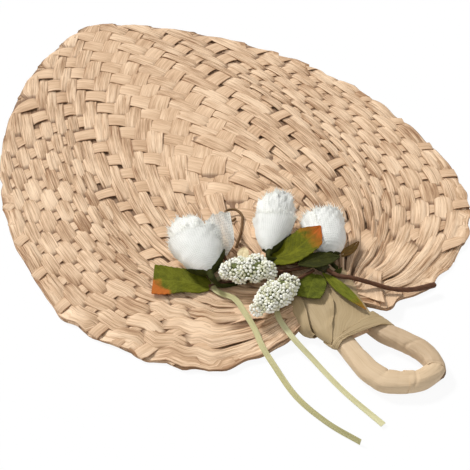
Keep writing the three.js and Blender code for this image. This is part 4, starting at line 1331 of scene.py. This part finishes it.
def petal(shape, bud, row, seed, fuzz):
    """One cloth petal round a bud's axis, with a wavy frayed top edge."""
    middle, span, tops, out, flare, crumple = row
    rng = np.random.default_rng(seed)
    v, s = np.linspace(0, 1, PETAL_ROWS)[:, None], np.linspace(-1, 1, PETAL_COLUMNS)[None, :]
    wave, pleat, rag = ripple(rng, 2.0, 5.0), ripple(rng, 3.0, 8.0), ripple(rng, 6.0, 16.0)
    rim = smooth(np.interp(s[0], np.linspace(-1, 1, len(tops)), tops), 4)
    rim = rim * (1 - 0.08 * np.abs(s[0]) ** 5 + 0.02 * wave(2 * s[0]) + 0.015 * rag(3 * s[0]))
    girth = out * (1 + flare * v ** 4 + 0.035 * pleat(2 * s) * v + 0.02 * wave(5 * v + s))
    girth = girth + crumple * v ** 2 * (rag(1.4 * v + 2 * s) + rag(2 * v - 1.6 * s))
    grid = bud.point(v * rim[None, :], middle + s * span / 2, girth)
    grid[:, :, 2] = np.maximum(grid[:, :, 2], PETAL_FLOOR)
    broad = np.linspace(0, bud.radius * out * span / 10, PETAL_COLUMNS)
    shape.sheet(grid, PETAL_THICK, v[:, 0] * bud.length / 10, broad)
    frayed(shape, grid[-1], grid[-3], rng, FRINGE, RIM_THREADS)
    upper = grid[PETAL_ROWS // 2:]
    for column, inner in ((0, 2), (-1, -3)):
        frayed(shape, upper[:, column], upper[:, inner], rng, FRINGE // 5, SIDE_THREADS)
    normal = unit(grid - bud.base - ((grid - bud.base) @ bud.along)[..., None] * bud.along)
    i = (PETAL_ROWS * (0.5 + 0.5 * rng.random(fuzz) ** 0.6)).astype(int).clip(0, PETAL_ROWS - 1)
    j = rng.integers(0, PETAL_COLUMNS, fuzz)
    directions = unit(normal[i, j] + 1.6 * bud.along + rng.normal(0, 0.8, (fuzz, 3)))
    threads(shape, grid[i, j], directions, rng, FACE_THREADS)


def build_buds():
    for k, (name, bud) in enumerate(BUDS.items()):
        shape = Shape()
        for i, row in enumerate(PETALS[name]):
            petal(shape, bud, row, 400 + 20 * k + i, FUZZ[name])
        shape.piece(f"rose_{name}", GAUZE, "rose_cloth", f"bud_{name}")


STEM_RADIUS, STEM_STEPS = 1.3, 60
STEM_ROUTES = {
    "left": over((-9, 40, 1.3), (-16, 42, 2.1), (-24, 45.5, 1.8), (-36, 49, 2.4), (-45, 50.5, 5.2)),
    "middle": over((-1, 44, 1.3), (-9, 46.5, 3.8)),
    "right": over((11.4, 26.5, 2.8), (11.2, 30.5, 2.8)),
}
# Turns of the sepals round each bud, with their lengths
SEPALS = {
    "left": [(-0.55, 12), (-1.2, 11), (-1.9, 11), (-2.5, 12), (-3.15, 16)],
    "middle": [(-1.2, 6), (-2.1, 9), (-2.95, 18)],
    "right": [(-1.2, 6), (-2.1, 8)],
}
SEPAL_WIDTH, SEPAL_THICK, SEPAL_ROOT = 8.5, 0.4, 2.2


def sepal(shape, bud, turn, length, seed):
    """A small green leaf lying up the side of a bud."""
    wavy = ripple(np.random.default_rng(seed), 2.0, 6.0)
    v, s = np.linspace(0, 1, 16)[:, None], np.linspace(-1, 1, 9)[None, :]
    share = (v * length - SEPAL_ROOT) / bud.length
    wide = SEPAL_WIDTH / 2 * np.sin(math.pi * np.clip(0.16 + 0.84 * v, 0, 1)) ** 0.7
    out = 1.07 + 0.05 * v + 0.02 * wavy(4 * v + s)
    shape.sheet(bud.point(share, turn + s * wide / np.maximum(bud.half(share), 3.0), out), SEPAL_THICK)


def build_stems():
    for k, (name, route) in enumerate(STEM_ROUTES.items()):
        bud = BUDS[name]
        line = catmull([*route, bud.base - 5 * bud.flat, bud.base + 1.0 * bud.along], STEM_STEPS)
        at = np.linspace(0, 1, STEM_STEPS)
        shape = Shape()
        tube(shape, line, STEM_RADIUS * (0.8 + 0.9 * at ** 8), 12, 0.12, 70 + k)
        for i, (turn, length) in enumerate(SEPALS[name]):
            sepal(shape, bud, turn, length, 500 + 10 * k + i)
        shape.piece(f"rose_stem_{name}", CLOTH["stem_green"], "dark_tape", f"bud_stem_{name}")


# Half width of a leaf from its foot to its tip
POINTED = (0.16, 0.62, 0.9, 1, 0.95, 0.8, 0.5, 0.08)
SQUARE = (0.26, 0.58, 0.72, 0.8, 0.87, 0.94, 0.99, 0.95)
BROAD = (0.4, 0.76, 0.94, 1, 1, 0.98, 0.93, 0.84)
CORNERED = (0.26, 0.58, 0.8, 0.93, 1, 1, 1, 0.98, 0.54, 0.02)
LEAF_ROWS, LEAF_SIDES, CLOTH_THICK = 56, 15, 0.45
TOOTH, TEETH, CAMBER, RIB_DEPTH, RIB_BREADTH = 0.06, 11, 0.08, 0.3, 0.12
ON_WRAP = 1.7  # lift of a leaf that lies on the wrapped neck
# Each leaf: route, width, outline, material, slot, seed, wave of its edge and lift over its route
LEAVES = {
    "leaf_left": (over((-48.5, 55.0, 0.6), (-59.5, 65.5, 0.9), (-72.5, 73.6, 1.2)), 21.5, SQUARE,
                  "leaf_olive", "green_leaf", 801, 0.35, SPRAY_LIFT),
    "leaf_middle": ([(-17, 50.4, 13.0), (-8, 45.2, 16.0), (3, 45.4, 20.0), (14.6, 48.2, 24.0)], 17, CORNERED,
                    "leaf_bright", "green_leaf", 802, 0.35, 0.0),
    "leaf_right": ([(-7, 35.2, 17.0), (3.6, 32.4, 17.6), (15.0, 29.8, 17.0)], 11, POINTED,
                   "leaf_shaded", "dark_leaf", 803, 0.35, 0.0),
    "leaf_narrow": (over((19, 37.4, 0.4), (28, 39.6, 0.4), (38, 44.6, 0.4)), 5.5, POINTED,
                    "leaf_brown", "brown_leaf", 804, 0.2, SPRAY_LIFT),
    "leaf_round": (over((-0.5, 28.5, 0.7), (-6.5, 23, 0.6), (-13, 16.4, 0.5)), 15.5, BROAD,
                   "leaf_round_green", "dark_leaf", 805, 0.35, ON_WRAP),
    "leaf_slender": (over((3.2, 27.4, 0.7), (5.2, 15, 0.6), (8.2, -5.0, 0.5)), 6.4, POINTED,
                     "leaf_slender_green", "green_leaf", 806, 0.2, ON_WRAP),
    "bract": (over((-29, 55.4, 7.6), (-26, 59.5, 7.4), (-22.6, 63.8, 6.6)), 6.2, POINTED,
              "bract_cream", "cream_bract", 807, 0.35, SPRAY_LIFT),
    "leaf_sprig": (over((5.0, 22.0, 0.8), (9.4, 23.8, 0.6), (14.4, 26.2, 0.4)), 3.6, POINTED,
                   "leaf_dark", "dark_leaf", 809, 0.2, SPRAY_LIFT),
}
# Side lines of the sheer petal, from its foot up, and how far its top edge bows out
SHEER_LEFT = [(-35.1, 66.0, 10.0), (-37.5, 71.3, 20.8), (-36.3, 82.2, 22.8)]
SHEER_RIGHT = [(-32.0, 66.2, 9.5), (-26.0, 69.6, 13.0), (-18.1, 87.5, 17.0)]
SHEER_BOW, SHEER_ROWS, SHEER_COLUMNS, SHEER_FRINGE = 2.2, 26, 21, 90


def leaf(node, route, width, outline, material, slot, seed, wave, lift):
    """A cloth leaf along a route, with a sunk midrib, toothed edge and a slight wave."""
    rng = np.random.default_rng(seed)
    line = catmull(route, LEAF_ROWS)
    line[:, 2] += lift
    _, across, up = ways(line)
    at = np.linspace(0, 1, LEAF_ROWS)
    wide = smooth(np.interp(at, np.linspace(0, 1, len(outline)), outline), 4) * width / 2
    curl, roll = ripple(rng, 5.0, 11.0), ripple(rng, 2.0, 4.0)
    saw = 1 + TOOTH * (((at * TEETH) % 1.0) - 0.5)
    columns = []
    for t in np.linspace(-1, 1, LEAF_SIDES):
        rib = RIB_DEPTH * math.exp(-(t / RIB_BREADTH) ** 2)
        bowed = CAMBER * wide * t * t * (1 + 0.5 * roll(at * 3 + t))
        raised = bowed + wave * abs(t) * curl(at + 0.3 * t) - rib
        columns.append(line + across * (wide * saw * t)[:, None] + up * raised[:, None])
    shape = Shape()
    shape.sheet(np.stack(columns, 1), CLOTH_THICK)
    shape.piece(f"cloth_{node}", CLOTH[material], slot, *([node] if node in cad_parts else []))


def sheer_petal():
    """A petal spread between its two side lines, with its top edge bowed out."""
    rng = np.random.default_rng(808)
    first, last = catmull(SHEER_LEFT, SHEER_ROWS), catmull(SHEER_RIGHT, SHEER_ROWS)
    way = unit(first[-1] - first[0] + last[-1] - last[0])
    at = np.linspace(0, 1, SHEER_ROWS)
    wavy = ripple(rng, 3.0, 7.0)
    grid = np.zeros((SHEER_ROWS, SHEER_COLUMNS, 3))
    for j, t in enumerate(np.linspace(0, 1, SHEER_COLUMNS)):
        bow = (SHEER_BOW * math.sin(math.pi * t) + 0.4 * wavy(4 * t)) * at ** 2
        grid[:, j] = first * (1 - t) + last * t + way * bow[:, None]
        grid[:, j, 2] += 0.3 * wavy(3 * at + 4 * t)
    shape = Shape()
    shape.sheet(grid, PETAL_THICK, at * 2.2, np.linspace(0, 1.6, SHEER_COLUMNS))
    frayed(shape, grid[-1], grid[-3], rng, SHEER_FRINGE, SHEER_THREADS)
    shape.piece("rose_petal_left", GAUZE_SHEER, "rose_cloth", "petal_left")


def ball():
    """Points and faces of a ball: an icosahedron with each face split in four."""
    g = (1 + 5 ** 0.5) / 2
    p = [
        (-1, g, 0), (1, g, 0), (-1, -g, 0), (1, -g, 0), (0, -1, g), (0, 1, g), (0, -1, -g), (0, 1, -g),
        (g, 0, -1), (g, 0, 1), (-g, 0, -1), (-g, 0, 1),
    ]
    faces = [
        (0, 11, 5), (0, 5, 1), (0, 1, 7), (0, 7, 10), (0, 10, 11), (1, 5, 9), (5, 11, 4), (11, 10, 2),
        (10, 7, 6), (7, 1, 8), (3, 9, 4), (3, 4, 2), (3, 2, 6), (3, 6, 8), (3, 8, 9), (4, 9, 5), (2, 4, 11),
        (6, 2, 10), (8, 6, 7), (9, 8, 1),
    ]
    p, out, made = list(unit(p)), [], {}

    def middle(a, b):
        key = (min(a, b), max(a, b))
        if key not in made:
            made[key] = len(p)
            p.append(unit(p[a] + p[b]))
        return made[key]

    for a, b, c in faces:
        ab, bc, ca = middle(a, b), middle(b, c), middle(c, a)
        out += [(a, ab, ca), (b, bc, ab), (c, ca, bc), (ab, bc, ca)]
    return np.array(p), out


def round_about(count):
    """Directions spread evenly over a ball."""
    k = np.arange(count) + 0.5
    z = 1 - 2 * k / count
    turn = k * math.pi * (3 - 5 ** 0.5)
    return np.stack([np.sqrt(1 - z * z) * np.cos(turn), np.sqrt(1 - z * z) * np.sin(turn), z], -1)


BALL_POINTS, BALL_FACES = ball()
UMBELS, UMBEL_BEADS, UMBEL_RADIUS, LOWEST_BEAD = 22, 54, 3.6, 2.9
HEART_SHARE, HEART_SIDES, HEART_ROWS = 0.76, 28, 16


def berries(where, centre, half, lean, seed):
    """A head of small round berries: umbels of beads side by side on a green heart."""
    rng = np.random.default_rng(seed)
    centre, half = np.array(centre), np.array(half)
    turned = np.array([[math.cos(lean), math.sin(lean), 0], [-math.sin(lean), math.cos(lean), 0], [0, 0, 1]])
    beads, heart = Shape(), Shape()
    for way in unit(round_about(UMBELS) + rng.normal(0, 0.12, (UMBELS, 3))):
        middle = (half - UMBEL_RADIUS) * way * rng.uniform(0.82, 1.14)
        out = unit(way / half)
        size = UMBEL_RADIUS * rng.uniform(0.85, 1.15)
        for spot in round_about(UMBEL_BEADS):
            if spot @ out < -0.1:
                continue
            at = centre + (middle + spot * size * (1 + rng.normal(0, 0.05))) @ turned
            r = rng.uniform(0.62, 0.95)
            tone = rng.random()
            if at[2] > LOWEST_BEAD:
                beads.add(at + BALL_POINTS * r, BALL_FACES, np.tile([tone, 0.5], (len(BALL_POINTS), 1)))
    beads.piece(f"berry_beads_{where}", BEADS, "berry_beads", f"berries_{where}")
    theta = turns(HEART_SIDES)
    rings = []
    for phi in np.linspace(-1.5, 1.5, HEART_ROWS):
        bump = 1 + 0.08 * np.sin(5 * theta + 7 * phi) * np.cos(phi)
        flat = np.cos(phi) * np.stack([np.cos(theta), np.sin(theta)], -1)
        ring = np.column_stack([flat, np.full_like(theta, np.sin(phi))])
        rings.append(centre + (ring * half * HEART_SHARE * bump[:, None]) @ turned)
    heart.loft(rings, np.linspace(0, 1, HEART_ROWS), np.abs(theta - math.pi) / math.pi)
    heart.piece(f"berry_heart_{where}", BEAD_CORE, "berry_beads")


TAPE_CENTRE, TAPE_AXIS = np.array((4, 33, 10 + FIT + 3.5)), unit((0.35, -1, 0))
TAPE_HALF, TAPE_RADIUS, STALK_RADIUS, TENDRIL_RADIUS = 6, 2.6, 0.8, 0.75
TWIG_ROUTE = [TAPE_CENTRE + TAPE_AXIS * 6.3] + over(
    (8.5, 21, 3.3), (14, 16.5, 3.0), (23, 10.5, 4.3), (31, 4.5, 3.2), (41, 0, 3.2), (55, -2.4, 2.6))
TENDRIL_ROUTE = over(
    (-23, 72, 1.6), (-16, 79.5, 2.3), (-11, 86.5, 2.5), (-8.6, 91, 3.0), (-9.5, 96.4, 3.8), (-14, 98.4, 4.3),
    (-17, 95, 3.8), (-15, 90.4, 2.9), (-12.5, 91.2, 2.8))
# Wires that carry the left leaf, the two heads of berries and the sheer petal from the tape
STALKS = [
    [(1, 36, 12.6)] + over((-12, 39, 2.6), (-26, 45, 2.6), (-38, 51.5, 2.6), (-49, 55.6, 2.4)),
    [(0, 34, 13.2)] + over((-9, 37.4, 3.6), (-19, 41.5, 6.0), (-29, 46, 8.4)),
    [(0, 31, 13.2)] + over((-8, 29.5, 3.6), (-17, 27, 6.0), (-26, 25, 7.6)),
    [(2, 37, 12.2)] + over((-8, 44, 2.4), (-22, 52, 2.2), (-31, 60, 2.2), (-33.4, 64.6, 4.8))
    + [(-33.5, 66.6, 10.0)],
]


def build_wires():
    at = np.linspace(0, 1, 120)
    thick = (1.15 + 0.4 * ease(at, 0.6, 0.35)) * np.sqrt(np.clip((1.004 - at) / 0.02, 0.05, 1))
    shape = Shape()
    tube(shape, catmull(TWIG_ROUTE, len(at)), thick, 14, 0.05, 91)
    shape.piece("twig_main", TWIG, "brown_tape", "main_stem")
    shape = Shape()
    tube(shape, catmull(TENDRIL_ROUTE, 130), TENDRIL_RADIUS, 10, 0.0, 92)
    shape.piece("twig_tendril", TENDRIL, "brown_tape", "tendril")
    at = np.linspace(-1, 1, 48)
    line = TAPE_CENTRE + np.outer(at * TAPE_HALF, TAPE_AXIS)
    shape = Shape()
    tube(shape, line, TAPE_RADIUS * (1 - 0.3 * np.abs(at) ** 5), 24, 0.3, 93)
    shape.piece("stem_tape", TAPE, "dark_tape", "binding_tape")
    shape = Shape()
    for k, route in enumerate(STALKS):
        tube(shape, catmull(route, 40), STALK_RADIUS, 8, 0.1, 94 + k)
    shape.piece("stem_stalks", TWIG, "brown_tape")


build_buds()
build_stems()
for node, row in LEAVES.items():
    leaf(node, *row)
sheer_petal()
berries("upper", above(-29.5, 46.8, 10.4), (15, 8.5, 6), -0.45, 901)
berries("lower", above(-27, 24.6, 9.4), (15.5, 8.5, 6), 0.2, 902)
build_wires()
